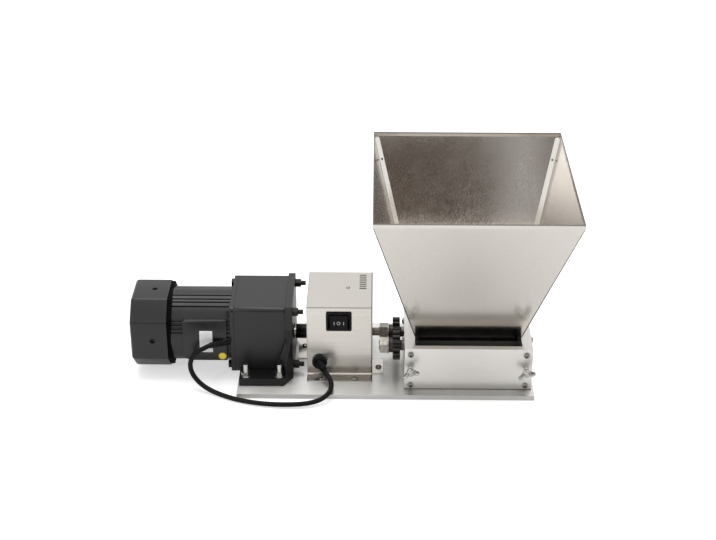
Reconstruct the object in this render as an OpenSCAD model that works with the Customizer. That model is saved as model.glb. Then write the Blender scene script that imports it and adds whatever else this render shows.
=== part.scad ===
// Electric two-roller grain mill: gear motor, guarded coupling box, roller housing and hopper.
// Millimetres. X runs along the drive shaft, -Y faces the user, Z is up.
// The origin is the centre of the base plate's underside.

/* [Base plate] */
// Depth of the base plate, front to back
base_d = 174; // [160:1:240]
// Thickness of the base plate
base_t = 6; // [4:0.5:12]
// Plate left over beyond the right side plate
mill_edge = 3; // [1:0.5:30]
// Plate left over beyond the motor bracket's feet
foot_edge = 2; // [1:0.5:30]

/* [Rollers] */
// Diameter of both rollers
roller_d = 31.75; // [28:0.25:33]
// Length of the rolling faces
roller_l = 122; // [90:1:160]
// Smallest gap between the rollers, which is the rest position
roller_gap = 0.75; // [0.5:0.05:1.5]
// Free space between each roller end and its side plate
end_play = 1; // [0.5:0.25:3]
// Diameter of the journals in their bearings
journal_d = 13; // [12.5:0.5:15]
// How far the front roller can be backed off
gap_travel = 1.5; // [0.5:0.25:2]
// Travel per turn of the wing screws
screw_pitch = 1; // [0.5:0.25:1.25]

/* [Roller housing] */
// Thickness of the side plates
side_t = 15; // [13:0.5:20]
// Height of the side plates above the rollers
roller_cover = 3; // [3:0.5:12]
// Thickness of the front and rear covers
cover_t = 8; // [4:0.5:12]
// Plate in front of the bearing block slot
front_land = 18.7; // [14:0.1:30]
// Plate behind the drive roller
rear_land = 16.6; // [14:0.1:40]
// Width of the ledge that the hopper stands on
ledge_w = 2.5; // [2:0.25:4]
// Depth of that ledge below the plate tops
ledge_h = 8; // [7:0.5:10]
// Depth of each bearing block, front to back
block_d = 24; // [20:1:26]
// Height of each bearing block
block_h = 21; // [20:1:30]
// Outer diameter of the drive roller's bushes
bush_d = 18; // [17:0.5:20]

/* [Roller gears] */
// Teeth on each roller gear
gear_teeth = 13; // [11:1:16]
// Face width
gear_w = 9; // [6:0.5:12]
// Diameter of the gear hub
hub_d = 18; // [16:0.5:20]
// Length of the gear hub
hub_l = 5; // [3:0.5:8]
// Bare shaft between gear and side plate
gear_stub = 5; // [3:0.5:10]
// Shaft diameter inside the gears
seat_d = 12; // [11:0.5:12]
// Across flats of the shaft nuts
shaft_nut_af = 19; // [17:0.5:20]
// Height of the shaft nuts
shaft_nut_h = 10; // [6:0.5:12]

/* [Hopper] */
// Width over the rim
hopper_w = 232; // [190:1:260]
// Depth over the rim
hopper_d = 259; // [200:1:280]
// Height from the bend to the rim
hopper_h = 200; // [120:1:240]
// Depth of the collar at the bottom
collar_d = 60; // [54:1:70]
// Height of the bend above the side plates
bend_h = 4; // [2:0.5:10]
// Hopper centre in front of the roller nip
hopper_shift = 4.75; // [0:0.25:6]
// Sheet thickness
sheet_t = 1.2; // [0.8:0.1:2]
// Height of the upright lip around the rim
rim_lip = 5; // [3:0.5:10]
// Width of the strips inside the corners
strip_w = 5.5; // [5:0.5:12]

/* [Coupling box] */
// Length along the shaft
box_w = 80; // [76:1:120]
// Front of the box, forward of the shaft
box_front = 41; // [34:1:50]
// Back of the box, behind the shaft
box_rear = 49; // [36:1:60]
// Height above the base plate
box_h = 95.5; // [90:0.5:130]
// Sheet thickness
box_t = 1.5; // [1:0.1:2]
// Width of the feet folded out at front and back
flange_w = 16.5; // [12:0.5:22]
// Width of the feet folded out at the ends
tab_w = 13.5; // [12:0.5:15]
// Clear shaft between box and mill
box_to_mill = 39; // [36:1:60]

/* [Rocker switch] */
// Width of the switch frame
switch_w = 31.2; // [30:0.1:34]
// Height of the switch frame
switch_h = 25.4; // [24:0.1:28]
// How far the rocker tips to either side
switch_tip = 12; // [8:1:12]
// Switch centre left of the box centre
switch_x = 0.75; // [-10:0.25:10]
// Switch centre below the box top
switch_drop = 19.5; // [16:0.5:30]

/* [Gearbox] */
// Side of the square gear case
case_s = 90; // [86:1:100]
// Length of the gear case
case_l = 62.5; // [58:0.5:80]
// Thickness of the case lid on the motor side
lid_t = 5; // [4:0.5:8]
// Wall of the gear case
case_wall = 5; // [4:0.5:6]
// Gap between the gear case and the base plate
case_clear = 4.5; // [2:0.5:20]
// Motor axis above the output shaft
motor_rise = 11.5; // [10:0.5:13]
// Half the distance between neighbouring bracket bolts
bolt_half = 36.8; // [36:0.1:38]
// Output shaft diameter
out_d = 10; // [9:0.5:10.5]
// Teeth on the motor pinion
pinion1_teeth = 12; // [11:1:13]
// Teeth on the first wheel
wheel1_teeth = 42; // [38:1:44]
// Module of the first pair
module1 = 0.8; // [0.75:0.05:0.85]
// Teeth on the second pinion
pinion2_teeth = 12; // [11:1:13]
// Teeth on the output wheel
wheel2_teeth = 48; // [42:1:50]
// Module of the second pair
module2 = 0.95; // [0.9:0.05:1]

/* [Motor] */
// Diameter over the fins
motor_d = 89; // [84:1:90]
// Depth of the fins
fin_h = 2.5; // [1.5:0.25:3]
// Length of the finned housing
motor_l = 73; // [68:1:100]
// Width over the flats of the fan cover
cap_s = 94; // [92:1:100]
// Corner cut of the fan cover
cap_cut = 22; // [16:1:24]
// Length of the fan cover
cap_l = 45; // [42:1:60]
// Length of the terminal pad
pad_l = 54; // [40:1:60]
// Height of the terminal pad
pad_h = 52; // [40:1:56]
// Front face of the terminal pad from the motor axis
pad_out = 48; // [46:0.5:54]

/* [Motor bracket] */
// Thickness of the upright plate
bracket_t = 8.5; // [6:0.5:12]
// Length of the feet
foot_l = 65; // [60:1:90]
// Distance over both feet
foot_d = 137; // [130:1:150]
// Thickness of the feet
foot_t = 10; // [6:0.5:14]
// Clear space between bracket and coupling box
bracket_to_box = 17; // [16:0.5:24]

/* [Coupling] */
// Diameter of the coupling
coupling_d = 18; // [17:0.5:24]
// Length of each coupling hub without its jaws
coupling_hub_l = 26; // [22:1:28]
// Length of the jaws
jaw_l = 8; // [6:0.5:10]

/* [Fits] */
// Radial clearance of bolts and other still fits
fit_gap = 0.1; // [0.05:0.01:0.2]
// Radial clearance of running shafts
run_gap = 0.05; // [0.02:0.01:0.1]
// Clearance of sliding blocks on each side
slide_gap = 0.15; // [0.05:0.01:0.3]
// Tooth play at the pitch circle, as a share of the module
tooth_play = 0.16; // [0.12:0.01:0.24]

/* [Hidden] */
$fn = 64;

// Chain along the shaft, from the right end of the base plate to the fan cover
mill_w = roller_l + 2 * end_play + 2 * side_t;
base_l = mill_edge + mill_w + box_to_mill + box_w + bracket_to_box + foot_l + foot_edge;
base_x1 = base_l / 2;
base_x0 = -base_x1;
mill_x1 = base_x1 - mill_edge;
mill_x0 = mill_x1 - mill_w;
mill_in0 = mill_x0 + side_t;
mill_in1 = mill_x1 - side_t;
mill_cx = (mill_x0 + mill_x1) / 2;
roller_x0 = mill_in0 + end_play;
roller_x1 = mill_in1 - end_play;
gear_x1 = mill_x0 - gear_stub;
gear_x0 = gear_x1 - gear_w;
hub_x0 = gear_x0 - hub_l;
washer_t = 1;
washer_x0 = hub_x0 - washer_t;
nut_x0 = washer_x0 - shaft_nut_h;
box_x1 = mill_x0 - box_to_mill;
box_x0 = box_x1 - box_w;
box_cx = (box_x0 + box_x1) / 2;
bracket_x1 = box_x0 - bracket_to_box;
bracket_x0 = bracket_x1 - bracket_t;
case_x1 = bracket_x0;
case_x0 = case_x1 - case_l;
lid_x0 = case_x0 - lid_t;
motor_x1 = lid_x0;
motor_x0 = motor_x1 - motor_l;
end_t = 4;
end_x0 = motor_x0 - end_t;
cap_x1 = end_x0;
cap_x0 = cap_x1 - cap_l;

// Heights
shaft_h = case_clear + case_s / 2 - motor_rise;
axis_z = base_t + shaft_h;
motor_z = axis_z + motor_rise;
block_roof = 0.35;
side_top = axis_z + max(roller_d / 2 + roller_cover, block_h / 2 + block_roof + ledge_h);
ledge_z = side_top - ledge_h;
bend_z = side_top + bend_h;
wall_top = bend_z + hopper_h;
rim_z = wall_top + sheet_t / 2;
lip_z = rim_z - rim_lip;
box_top = base_t + box_h;

// Front and back
roller_pitch = roller_d + roller_gap;
front_y = -roller_pitch;
nip_y = front_y / 2;
slot_y0 = front_y - block_d / 2 - gap_travel - 2 * slide_gap;
slot_y1 = front_y + block_d / 2 + slide_gap;
plate_y0 = slot_y0 - front_land;
plate_y1 = roller_d / 2 + rear_land;
mill_y0 = plate_y0 - cover_t;
mill_y1 = plate_y1 + cover_t;
hopper_y = nip_y - hopper_shift;
box_y0 = -box_front;
box_y1 = box_rear;

// Roller gears: the pitch circles touch when the rollers are at their smallest gap
gear_module = roller_pitch / gear_teeth;

// Gear train: motor pinion, countershaft and output wheel stand in a triangle
pair1 = module1 * (pinion1_teeth + wheel1_teeth) / 2;
pair2 = module2 * (pinion2_teeth + wheel2_teeth) / 2;
counter_dz = (pair2 * pair2 - pair1 * pair1 + motor_rise * motor_rise) / (2 * motor_rise);
counter_y = sqrt(pair2 * pair2 - counter_dz * counter_dz);
counter_z = axis_z + counter_dz;
wheel1_x0 = case_x0 + 2;
wheel1_x1 = wheel1_x0 + 8;
wheel2_x0 = wheel1_x1 + 5;
wheel2_x1 = wheel2_x0 + 12;
boss_x0 = wheel2_x1 + 4;
ball_d = 26;
ball_w = 8;
ball_wall = 4;
counter_d = 8;
counter_bush_d = 11;

// Motor
shell_r = motor_d / 2 - fin_h;
bore_d = 2 * shell_r - 6;
stack_l = 42;
stack_x1 = motor_x1 - 14;
stack_x0 = stack_x1 - stack_l;
rotor_d = 50;
motor_shaft_d = 12;
motor_seat_d = 10;

// Sheet slopes of the hopper, and the sheet's thickness measured level
rim_a = hopper_w / 2;
rim_b = hopper_d / 2;
collar_a = mill_w / 2 - side_t + ledge_w - slide_gap;
collar_b = collar_d / 2;
slope_a = (rim_a - collar_a) / (lip_z - bend_z);
slope_b = (rim_b - collar_b) / (lip_z - bend_z);
level_a = sheet_t * sqrt(1 + slope_a * slope_a);
level_b = sheet_t * sqrt(1 + slope_b * slope_b);
front_collar_z = axis_z + roller_d / 2 + 1.5;

// Fasteners
screw_d = 4;
screw_head_d = 7.6;
screw_head_h = 2.6;
bolt_d = 6;
bolt_af = 10;
bolt_head_h = 4;
bolt_nut_h = 5;
bracket_nut_h = 7;
bolt_tip = 13;
plate_screw_d = 5;
cover_screw_low = 6.5;
cover_screw_high = 8;
cover_screw_in = 10;
plate_screw_in = cover_screw_in + plate_screw_d / 2 + 3.5;
foot_bolt_in = 8;
foot_bolt_tip = 17;
wing_d = 5;
wing_drop = 8;
wing_bare = 7;
wing_hub_d = 10;
wing_hub_l = 6;
wing_r = 11;
wing_h = 13;
wing_t = 2.6;
wing_roll = 20;
block_low = max(block_h / 2, wing_drop + wing_d / 2 + 2);

// Coupling along the shaft
hub1_x0 = bracket_x1 + 2;
hub1_x1 = hub1_x0 + coupling_hub_l;
hub2_x0 = hub1_x1 + jaw_l;
hub2_x1 = hub2_x0 + coupling_hub_l;
jaw_half = 22;
jaw_gap = 0.3;
core_r = 3.5;

// Switch
switch_cx = box_cx - switch_x;
switch_z = box_top - switch_drop;
switch_body_w = switch_w - 4;
switch_body_h = switch_h - 4.4;
switch_body_l = 19;
rocker_hole_w = switch_body_w - 1.6;
rocker_hole_h = switch_body_h - 1.6;
rocker_half = rocker_hole_w / 2 - 2;
rocker_h = rocker_hole_h - 0.8;
rocker_pivot = 5;
rocker_pin_d = 3;
bezel_t = 2;

// Capacitor in the box
capacitor_d = 26;
capacitor_in = 8;
capacitor_end = 24;

// Cable between motor and box, laid by hand along the floor in front of the plate
cable_d = 6;
cable_sides = 8;
motor_gland_at = [-197, -pad_out, 56];
motor_gland_to = [-212, -57, 56];
box_gland_x = -80.5;
box_gland_z = 25;
box_gland_to = [-74.5, -57, 22];
cable_points = [
    [-212, -57, 56], [-214.6, -58.56, 56], [-218.9, -60.2, 54.4], [-224.8, -61.6, 51.6],
    [-231.2, -62.5, 46.5], [-235.7, -63.4, 38.9], [-236.8, -64.4, 30.1], [-234.5, -65.8, 21.4],
    [-229.2, -68.3, 14.1], [-222, -72, 8.8], [-213.8, -76.3, 5.5], [-205, -81.1, 3.9],
    [-196.1, -86, 3.3], [-187, -90.8, 3.2], [-177.8, -94.9, 3.2], [-168.4, -98.2, 3.2],
    [-158.8, -100.9, 3.3], [-149, -103.1, 3.4], [-139.2, -104.8, 3.6], [-129.2, -105.9, 3.9],
    [-119.1, -106.5, 4.2], [-109, -106.5, 4.5], [-99, -105.7, 4.8], [-89.4, -103.7, 5.3],
    [-80.6, -100.2, 6.2], [-73.3, -95.1, 7.8], [-68.1, -88.6, 10], [-65.6, -81.2, 12.6],
    [-65.9, -73.9, 15.6], [-68.1, -67.8, 18.3], [-70.9, -63.1, 20.2], [-73.2, -59.6, 21.35],
    [-74.5, -57, 22]
];

// A block between two corners
module block(x0, x1, y0, y1, z0, z1) {
    translate([x0, y0, z0]) cube([x1 - x0, y1 - y0, z1 - z0]);
}

// A round bar along X
module bar_x(d, x0, x1, y = 0, z = axis_z) {
    translate([x0, y, z]) rotate([0, 90, 0]) cylinder(d = d, h = x1 - x0);
}

// A round bar along Y
module bar_y(d, y0, y1, x, z) {
    translate([x, y1, z]) rotate([90, 0, 0]) cylinder(d = d, h = y1 - y0);
}

// A round bar along Z
module bar_z(d, z0, z1, x, y) {
    translate([x, y, z0]) cylinder(d = d, h = z1 - z0);
}

// A hexagon bar along X, with a flat on top
module hex_x(af, x0, x1, y, z) {
    translate([x0, y, z]) rotate([0, 90, 0]) cylinder(d = af / cos(30), h = x1 - x0, $fn = 6);
}

// A flat shape in Y and Z, pulled along X
module along_x(x0, x1) {
    translate([x0, 0, 0]) rotate([90, 0, 90]) linear_extrude(height = x1 - x0) children();
}

// A flat shape in X and Z, pulled along Y
module along_y(y0, y1) {
    translate([0, y1, 0]) rotate([90, 0, 0]) linear_extrude(height = y1 - y0) children();
}

// A rectangle with round corners around the origin
module round_rect(w, h, r) {
    square([w - 2 * r, h], center = true);
    square([w, h - 2 * r], center = true);
    for (x = [-1, 1], y = [-1, 1])
        translate([x * (w / 2 - r), y * (h / 2 - r)]) circle(r = r);
}

// An octagon: a square with its corners cut
module cut_square(s, c) {
    a = s / 2;
    polygon([
        [a - c, a], [c - a, a], [-a, a - c], [-a, c - a],
        [c - a, -a], [a - c, -a], [a, c - a], [a, a - c]
    ]);
}

// Involute of an angle, in degrees
function inv_deg(a) = tan(a) * 180 / PI - a;

// Half the angle a tooth covers at radius r
function tooth_half(r, teeth, m, play) =
    let (rp = m * teeth / 2, rb = rp * cos(20), rr = max(r, rb))
    90 / teeth - play * m / (2 * rp) * 180 / PI + inv_deg(20) - inv_deg(acos(rb / rr));

// The four radii at which a flank is drawn, from root to tip
function flank_radii(teeth, m) =
    let (rp = m * teeth / 2, low = rp - 1.1 * m, high = rp + 0.8 * m)
    [low, max(low + 0.1 * m, rp * cos(20)), rp, (rp + high) / 2, high];

// Outline of a spur gear with one tooth at angle turn
function gear_outline(teeth, m, turn, play) = [
    for (t = [0 : teeth - 1], side = [-1, 1], k = [0 : 4])
        let (
            i = side < 0 ? k : 4 - k,
            r = flank_radii(teeth, m)[i],
            a = turn + 360 * t / teeth + side * tooth_half(r, teeth, m, play)
        )
        [r * cos(a), r * sin(a)]
];

module gear_x(teeth, m, turn, x0, x1, y, z) {
    translate([0, y, z])
        along_x(x0, x1)
            polygon(gear_outline(teeth, m, turn, tooth_play));
}

// The turn that lets a second gear mesh with a first one that stands at angle bearing from it
function mesh_turn(turn_a, teeth_a, teeth_b, bearing) =
    bearing + 180 + 180 / teeth_b - (turn_a - bearing) * teeth_a / teeth_b;

// A plain screw along Y with its head towards the user
module screw_y(x, y, z, reach) {
    bar_y(screw_head_d, y - screw_head_h, y, x, z);
    bar_y(screw_d, y - 0.5, y + reach, x, z);
}

// A slab of sheet between an outer and an inner outline, given bottom to top
module sheet_slab(outer, inner) {
    n = len(outer);
    points = concat(outer, inner);
    rows = n / 2;
    skin = [for (i = [0 : rows - 2]) [2 * i, 2 * i + 2, 2 * i + 3, 2 * i + 1]];
    polyhedron(
        points = points,
        faces = concat(
            skin,
            [for (f = skin) [f[3] + n, f[2] + n, f[1] + n, f[0] + n]],
            [for (i = [0 : rows - 2]) [2 * i + n, 2 * i + 2 + n, 2 * i + 2, 2 * i]],
            [for (i = [0 : rows - 2]) [2 * i + 3 + n, 2 * i + 1 + n, 2 * i + 1, 2 * i + 3]],
            [[n + 1, n, 0, 1], [2 * n - 2, 2 * n - 1, n - 1, n - 2]]
        )
    );
}

// Hopper wall seen from outside, on the front (turn 0) or another side, from the collar to the rim
module hopper_wall(half, out, level, half_in, collar_z, top_half, top_out, half_level) {
    sheet_slab(
        [
            [-half, -out, collar_z], [half, -out, collar_z],
            [-half, -out, bend_z], [half, -out, bend_z],
            [-top_half, -top_out, lip_z], [top_half, -top_out, lip_z],
            [-top_half, -top_out, rim_z], [top_half, -top_out, rim_z]
        ],
        [
            [-half_in, level - out, collar_z], [half_in, level - out, collar_z],
            [-half_in, level - out, bend_z], [half_in, level - out, bend_z],
            [half_level - top_half, level - top_out, lip_z],
            [top_half - half_level, level - top_out, lip_z],
            [half_level - top_half, level - top_out, rim_z],
            [top_half - half_level, level - top_out, rim_z]
        ]
    );
}

// Holes of the base plate
module base_holes() {
    for (x = plate_screw_xs, y = plate_screw_ys)
        countersunk(plate_screw_d + 2 * fit_gap, 10 + 2 * fit_gap, 2.5, x, y, base_t + 1);
    for (x = foot_bolt_xs, y = foot_bolt_ys)
        countersunk(bolt_d + 2 * fit_gap, 12 + 2 * fit_gap, 3, x, y, base_t + 1);
    for (p = box_screw_places)
        bar_z(screw_d + 2 * fit_gap, -1, base_t + 1, p[0], p[1]);
}

// A countersunk bolt standing on its head at the underside of the base plate
module countersunk(d, head_d, head_h, x, y, top) {
    translate([x, y, 0]) cylinder(d1 = head_d, d2 = d, h = head_h);
    bar_z(d, 0, top, x, y);
}

plate_screw_xs = [mill_x0 + side_t / 2, mill_x1 - side_t / 2];
plate_screw_ys = [plate_y0 + plate_screw_in, plate_y1 - plate_screw_in];
foot_bolt_xs = [bracket_x1 - foot_l + foot_bolt_in, bracket_x1 - 2 * foot_bolt_in];
foot_bolt_ys = [-foot_d / 2 + 7, foot_d / 2 - 7];
box_screw_places = [
    [box_x0 + 18, box_y0 - flange_w + 4.5], [box_x1 - 21, box_y0 - flange_w + 4.5],
    [box_x0 + 18, box_y1 + flange_w - 4.5], [box_x1 - 21, box_y1 + flange_w - 4.5],
    [box_x1 + tab_w / 2 + 1, box_y0 + 16], [box_x0 - tab_w / 2 + 1, box_y1 - 24]
];
hopper_screw_ys = [hopper_y - collar_b + 8, hopper_y + collar_b - 8];
hopper_screw_z = (ledge_z + side_top) / 2;
bolt_places = [for (y = [-1, 1], z = [-1, 1]) [y * bolt_half, motor_z + z * bolt_half]];
wing_z = axis_z - wing_drop;
outlet_side = 4;
outlet_end = 7;
outlet_r = 6;
wing_xs = [mill_x0 + side_t / 2, mill_x1 - side_t / 2];

// Base plate with the opening that the crushed grain falls through
module base_plate() {
    color("#c3c3bf")
        difference() {
            block(base_x0, base_x1, -base_d / 2, base_d / 2, 0, base_t);
            translate([mill_cx, (plate_y0 + plate_y1) / 2, -1])
                linear_extrude(height = base_t + 2)
                    round_rect(roller_l - 2 * outlet_side, plate_y1 - plate_y0 - 2 * outlet_end, outlet_r);
            base_holes();
        }
}

// Side plate without its turned-side details: ledge on the inner side, slot and bores
module side_plate(x0, inner_x0, inner_x1) {
    difference() {
        block(x0, x0 + side_t, plate_y0, plate_y1, base_t, side_top);
        block(inner_x0, inner_x1, plate_y0 - 1, plate_y1 + 1, ledge_z, side_top + 1);
        block(x0 - 1, x0 + side_t + 1, slot_y0, slot_y1,
            axis_z - block_low - slide_gap, axis_z + block_h / 2 + slide_gap);
        bar_x(bush_d + 2 * fit_gap, x0 - 1, x0 + side_t + 1);
        bar_y(wing_d + 2 * fit_gap, plate_y0 - 1, slot_y0 + 1, x0 + side_t / 2, wing_z);
        for (z = [base_t + cover_screw_low, side_top - cover_screw_high]) {
            bar_y(screw_d + 2 * fit_gap, plate_y0 - 1, plate_y0 + cover_screw_in + 2, x0 + side_t / 2, z);
            bar_y(screw_d + 2 * fit_gap, plate_y1 - cover_screw_in - 2, plate_y1 + 1, x0 + side_t / 2, z);
        }
        for (y = plate_screw_ys)
            bar_z(plate_screw_d + 2 * fit_gap, base_t - 1, base_t + 14.5, x0 + side_t / 2, y);
        for (y = hopper_screw_ys)
            bar_x(screw_d + 2 * fit_gap, x0 - 1, x0 + side_t + 1, y, hopper_screw_z);
    }
}

module side_plate_left() {
    color("#cfcfcb") side_plate(mill_x0, mill_in0 - ledge_w, mill_in0 + 1);
}

module side_plate_right() {
    color("#cfcfcb") side_plate(mill_in1, mill_in1 - 1, mill_in1 + ledge_w);
}

// Cover plate across both side plates
module cover(y0, y1) {
    difference() {
        block(mill_x0, mill_x1, y0, y1, base_t, side_top);
        for (x = wing_xs, z = [base_t + cover_screw_low, side_top - cover_screw_high])
            bar_y(screw_d + 2 * fit_gap, y0 - 1, y1 + 1, x, z);
        children();
    }
}

module front_cover() {
    color("#d0d0cc")
        cover(mill_y0, plate_y0)
            for (x = wing_xs)
                bar_y(wing_d + 2 * fit_gap, mill_y0 - 1, plate_y0 + 1, x, wing_z);
}

module rear_cover() {
    color("#d0d0cc") cover(plate_y1, mill_y1);
}

// Eight screws hold the two covers
module cover_screws() {
    color("#b9babb")
        for (x = wing_xs, z = [base_t + cover_screw_low, side_top - cover_screw_high]) {
            screw_y(x, mill_y0, z, cover_t + cover_screw_in);
            translate([0, mill_y1 + plate_y1, 0])
                mirror([0, 1, 0])
                    screw_y(x, plate_y1, z, cover_t + cover_screw_in);
        }
}

module side_plate_screws() {
    color("#8d8e90")
        for (x = plate_screw_xs, y = plate_screw_ys)
            countersunk(plate_screw_d, 10, 2.5, x, y, base_t + 14);
}

module drive_bushes() {
    color("#b08a4a")
        for (x = [mill_x0, mill_in1])
            difference() {
                bar_x(bush_d, x, x + side_t);
                bar_x(journal_d + 2 * run_gap, x - 1, x + side_t + 1);
            }
}

// Bearing blocks of the front roller, which slide in the side plates
module bearing_blocks() {
    color("#b5b6b4")
        for (x = [mill_x0, mill_in1])
            difference() {
                block(x + slide_gap, x + side_t - slide_gap, front_y - block_d / 2, front_y + block_d / 2,
                    axis_z - block_low, axis_z + block_h / 2);
                bar_x(journal_d + 2 * run_gap, x - 1, x + side_t + 1, front_y);
                bar_y(wing_d + 2 * run_gap, front_y - block_d / 2 - 1, front_y - block_d / 2 + 4,
                    x + side_t / 2, wing_z);
            }
}

// Wing screw that moves one end of the front roller
module wing_screw(x) {
    tip = front_y - block_d / 2 + 4;
    base = mill_y0 - wing_bare;
    translate([x, 0, wing_z])
        rotate([0, -wing_roll, 0]) {
            bar_y(wing_d, base - 1, tip, 0, 0);
            bar_y(wing_hub_d, base - wing_hub_l, base, 0, 0);
            for (s = [-1, 1])
                translate([0, 0, -wing_t / 2])
                    linear_extrude(height = wing_t)
                        hull() {
                            translate([s * 3, base - wing_hub_l / 2]) circle(d = wing_hub_l - 1);
                            translate([s * (wing_r - 3.5), base - wing_h + 3.5]) circle(r = 3.5);
                        }
        }
}

module wing_screw_left() {
    color("#c2c3c4") wing_screw(wing_xs[0]);
}

module wing_screw_right() {
    color("#c2c3c4") wing_screw(wing_xs[1]);
}

// Roller with its journals; the gear side stands on the left
module roller(y, left) {
    bar_x(roller_d, roller_x0, roller_x1, y);
    bar_x(journal_d, gear_x1, mill_x1 - 1, y);
    bar_x(seat_d, left, gear_x1, y);
}

module drive_roller() {
    color("#77787a") {
        roller(0, nut_x0 - 1);
        bar_x(out_d, hub2_x0 + 2, nut_x0);
    }
}

module front_roller() {
    color("#77787a") roller(front_y, nut_x0 - 1);
}

// Roller gear with its hub
module roller_gear(y, turn) {
    difference() {
        union() {
            gear_x(gear_teeth, gear_module, turn, gear_x0, gear_x1, y, axis_z);
            bar_x(hub_d, hub_x0, gear_x0, y);
        }
        bar_x(seat_d + 2 * fit_gap, hub_x0 - 1, gear_x1 + 1, y);
    }
}

module drive_gear() {
    color("#2b2b2d") roller_gear(0, 0);
}

module front_gear() {
    color("#2b2b2d") roller_gear(front_y, mesh_turn(0, gear_teeth, gear_teeth, 180));
}

// Nut and washer that hold a roller gear
module gear_nut(y, turn) {
    difference() {
        union() {
            bar_x(shaft_nut_af + 3, washer_x0, hub_x0, y);
            translate([0, y, axis_z])
                rotate([turn, 0, 0])
                    hex_x(shaft_nut_af, nut_x0, washer_x0 + 0.3, 0, 0);
        }
        bar_x(seat_d + 2 * fit_gap, nut_x0 - 1, hub_x0 + 1, y);
    }
}

module drive_gear_nut() {
    color("#b7b8b8") gear_nut(0, 30);
}

module front_gear_nut() {
    color("#b7b8b8") gear_nut(front_y, 0);
}

// Front or rear wall of the hopper, around the hopper's own centre
module long_wall() {
    hopper_wall(collar_a, collar_b, level_b, collar_a - level_a, front_collar_z, rim_a, rim_b, level_a);
}

// Left or right wall, drawn as a front wall and turned
module short_wall() {
    hopper_wall(collar_b, collar_a, level_a, collar_b - level_b, ledge_z, rim_b, rim_a, level_b);
}

module hopper_front_panel() {
    color("#cbc7c1") translate([mill_cx, hopper_y, 0]) long_wall();
}

module hopper_rear_panel() {
    color("#cbc7c1") translate([mill_cx, hopper_y, 0]) rotate([0, 0, 180]) long_wall();
}

module hopper_left_panel() {
    color("#cbc7c1")
        difference() {
            translate([mill_cx, hopper_y, 0]) rotate([0, 0, -90]) short_wall();
            hopper_screw_holes();
        }
}

module hopper_right_panel() {
    color("#cbc7c1")
        difference() {
            translate([mill_cx, hopper_y, 0]) rotate([0, 0, 90]) short_wall();
            hopper_screw_holes();
        }
}

module hopper_screw_holes() {
    for (y = hopper_screw_ys)
        bar_x(screw_d + 2 * fit_gap, mill_x0, mill_x1, y, hopper_screw_z);
}

// Strips folded into the four inner corners of the hopper
module hopper_corner_strips() {
    a0 = collar_a - level_a;
    b0 = collar_b - level_b;
    a1 = rim_a - level_a;
    b1 = rim_b - level_b;
    top = lip_z - 1;
    f = (top - bend_z) / (lip_z - bend_z);
    at = a0 + (a1 - a0) * f;
    bt = b0 + (b1 - b0) * f;
    color("#d9d6d0")
        translate([mill_cx, hopper_y, 0])
            for (sx = [0, 1], sy = [0, 1])
                mirror([sx, 0, 0])
                    mirror([0, sy, 0])
                        polyhedron(
                            points = [
                                [a0, b0, bend_z], [a0 - strip_w, b0, bend_z], [a0, b0 - strip_w, bend_z],
                                [at, bt, top], [at - strip_w, bt, top], [at, bt - strip_w, top]
                            ],
                            faces = [[0, 1, 2], [5, 4, 3], [0, 3, 4, 1], [1, 4, 5, 2], [2, 5, 3, 0]]
                        );
}

// Screws through the side plates that hold the hopper collar
module hopper_screws() {
    reach = side_t - ledge_w + slide_gap + level_a;
    color("#b9babb")
        for (y = hopper_screw_ys) {
            bar_x(screw_head_d, mill_x0 - screw_head_h, mill_x0, y, hopper_screw_z);
            bar_x(screw_d, mill_x0 - 0.5, mill_x0 + reach, y, hopper_screw_z);
            bar_x(screw_head_d, mill_x1, mill_x1 + screw_head_h, y, hopper_screw_z);
            bar_x(screw_d, mill_x1 - reach, mill_x1 + 0.5, y, hopper_screw_z);
        }
}

// Sheet folded over front, top and back, with feet at both ends
module box_shell() {
    slots = 8;
    color("#c9c2b9")
        difference() {
            union() {
                difference() {
                    block(box_x0, box_x1, box_y0, box_y1, base_t, box_top);
                    block(box_x0 - 1, box_x1 + 1, box_y0 + box_t, box_y1 - box_t, base_t - 1, box_top - box_t);
                }
                block(box_x0, box_x1, box_y0 - flange_w, box_y0 + box_t, base_t, base_t + box_t);
                block(box_x0, box_x1, box_y1 - box_t, box_y1 + flange_w, base_t, base_t + box_t);
            }
            for (i = [0 : 3])
                bar_z(screw_d + 2 * fit_gap, 0, base_t + 5, box_screw_places[i][0], box_screw_places[i][1]);
            for (i = [0 : slots - 1])
                translate([box_x1 - 12, 6 + i * 5, box_top - box_t - 1])
                    linear_extrude(height = box_t + 2)
                        round_rect(9, 2.2, 1);
            along_y(box_y0 - 1, box_y0 + box_t + 1)
                translate([switch_cx, switch_z])
                    square([switch_body_w + 2 * fit_gap, switch_body_h + 2 * fit_gap], center = true);
            bar_y(12 + 2 * fit_gap, box_y0 - 1, box_y0 + box_t + 1, box_gland_x, box_gland_z);
            along_y(box_y1 - box_t - 1, box_y1 + 1)
                translate([box_cx, base_t + 45])
                    square([27 + 2 * fit_gap, 20 + 2 * fit_gap], center = true);
        }
}

// End panel of the box with the hole for the shaft and a foot outside
module box_panel(x, side, hole, foot_y0, foot_y1, screw_at) {
    x0 = side < 0 ? x : x - box_t;
    difference() {
        union() {
            block(x0, x0 + box_t, box_y0 + box_t + fit_gap, box_y1 - box_t - fit_gap,
                base_t, box_top - box_t - fit_gap);
            if (side < 0)
                block(x - tab_w, x + box_t, foot_y0, foot_y1, base_t, base_t + box_t);
            else
                block(x - box_t, x + tab_w, foot_y0, foot_y1, base_t, base_t + box_t);
        }
        bar_x(hole, x0 - 1, x0 + box_t + 1);
        bar_z(screw_d + 2 * fit_gap, 0, base_t + 5, screw_at[0], screw_at[1]);
    }
}

module box_left_panel() {
    color("#bfb8af")
        box_panel(box_x0, -1, coupling_d + 8, -4, box_y1 - box_t - fit_gap, box_screw_places[5]);
}

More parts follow.
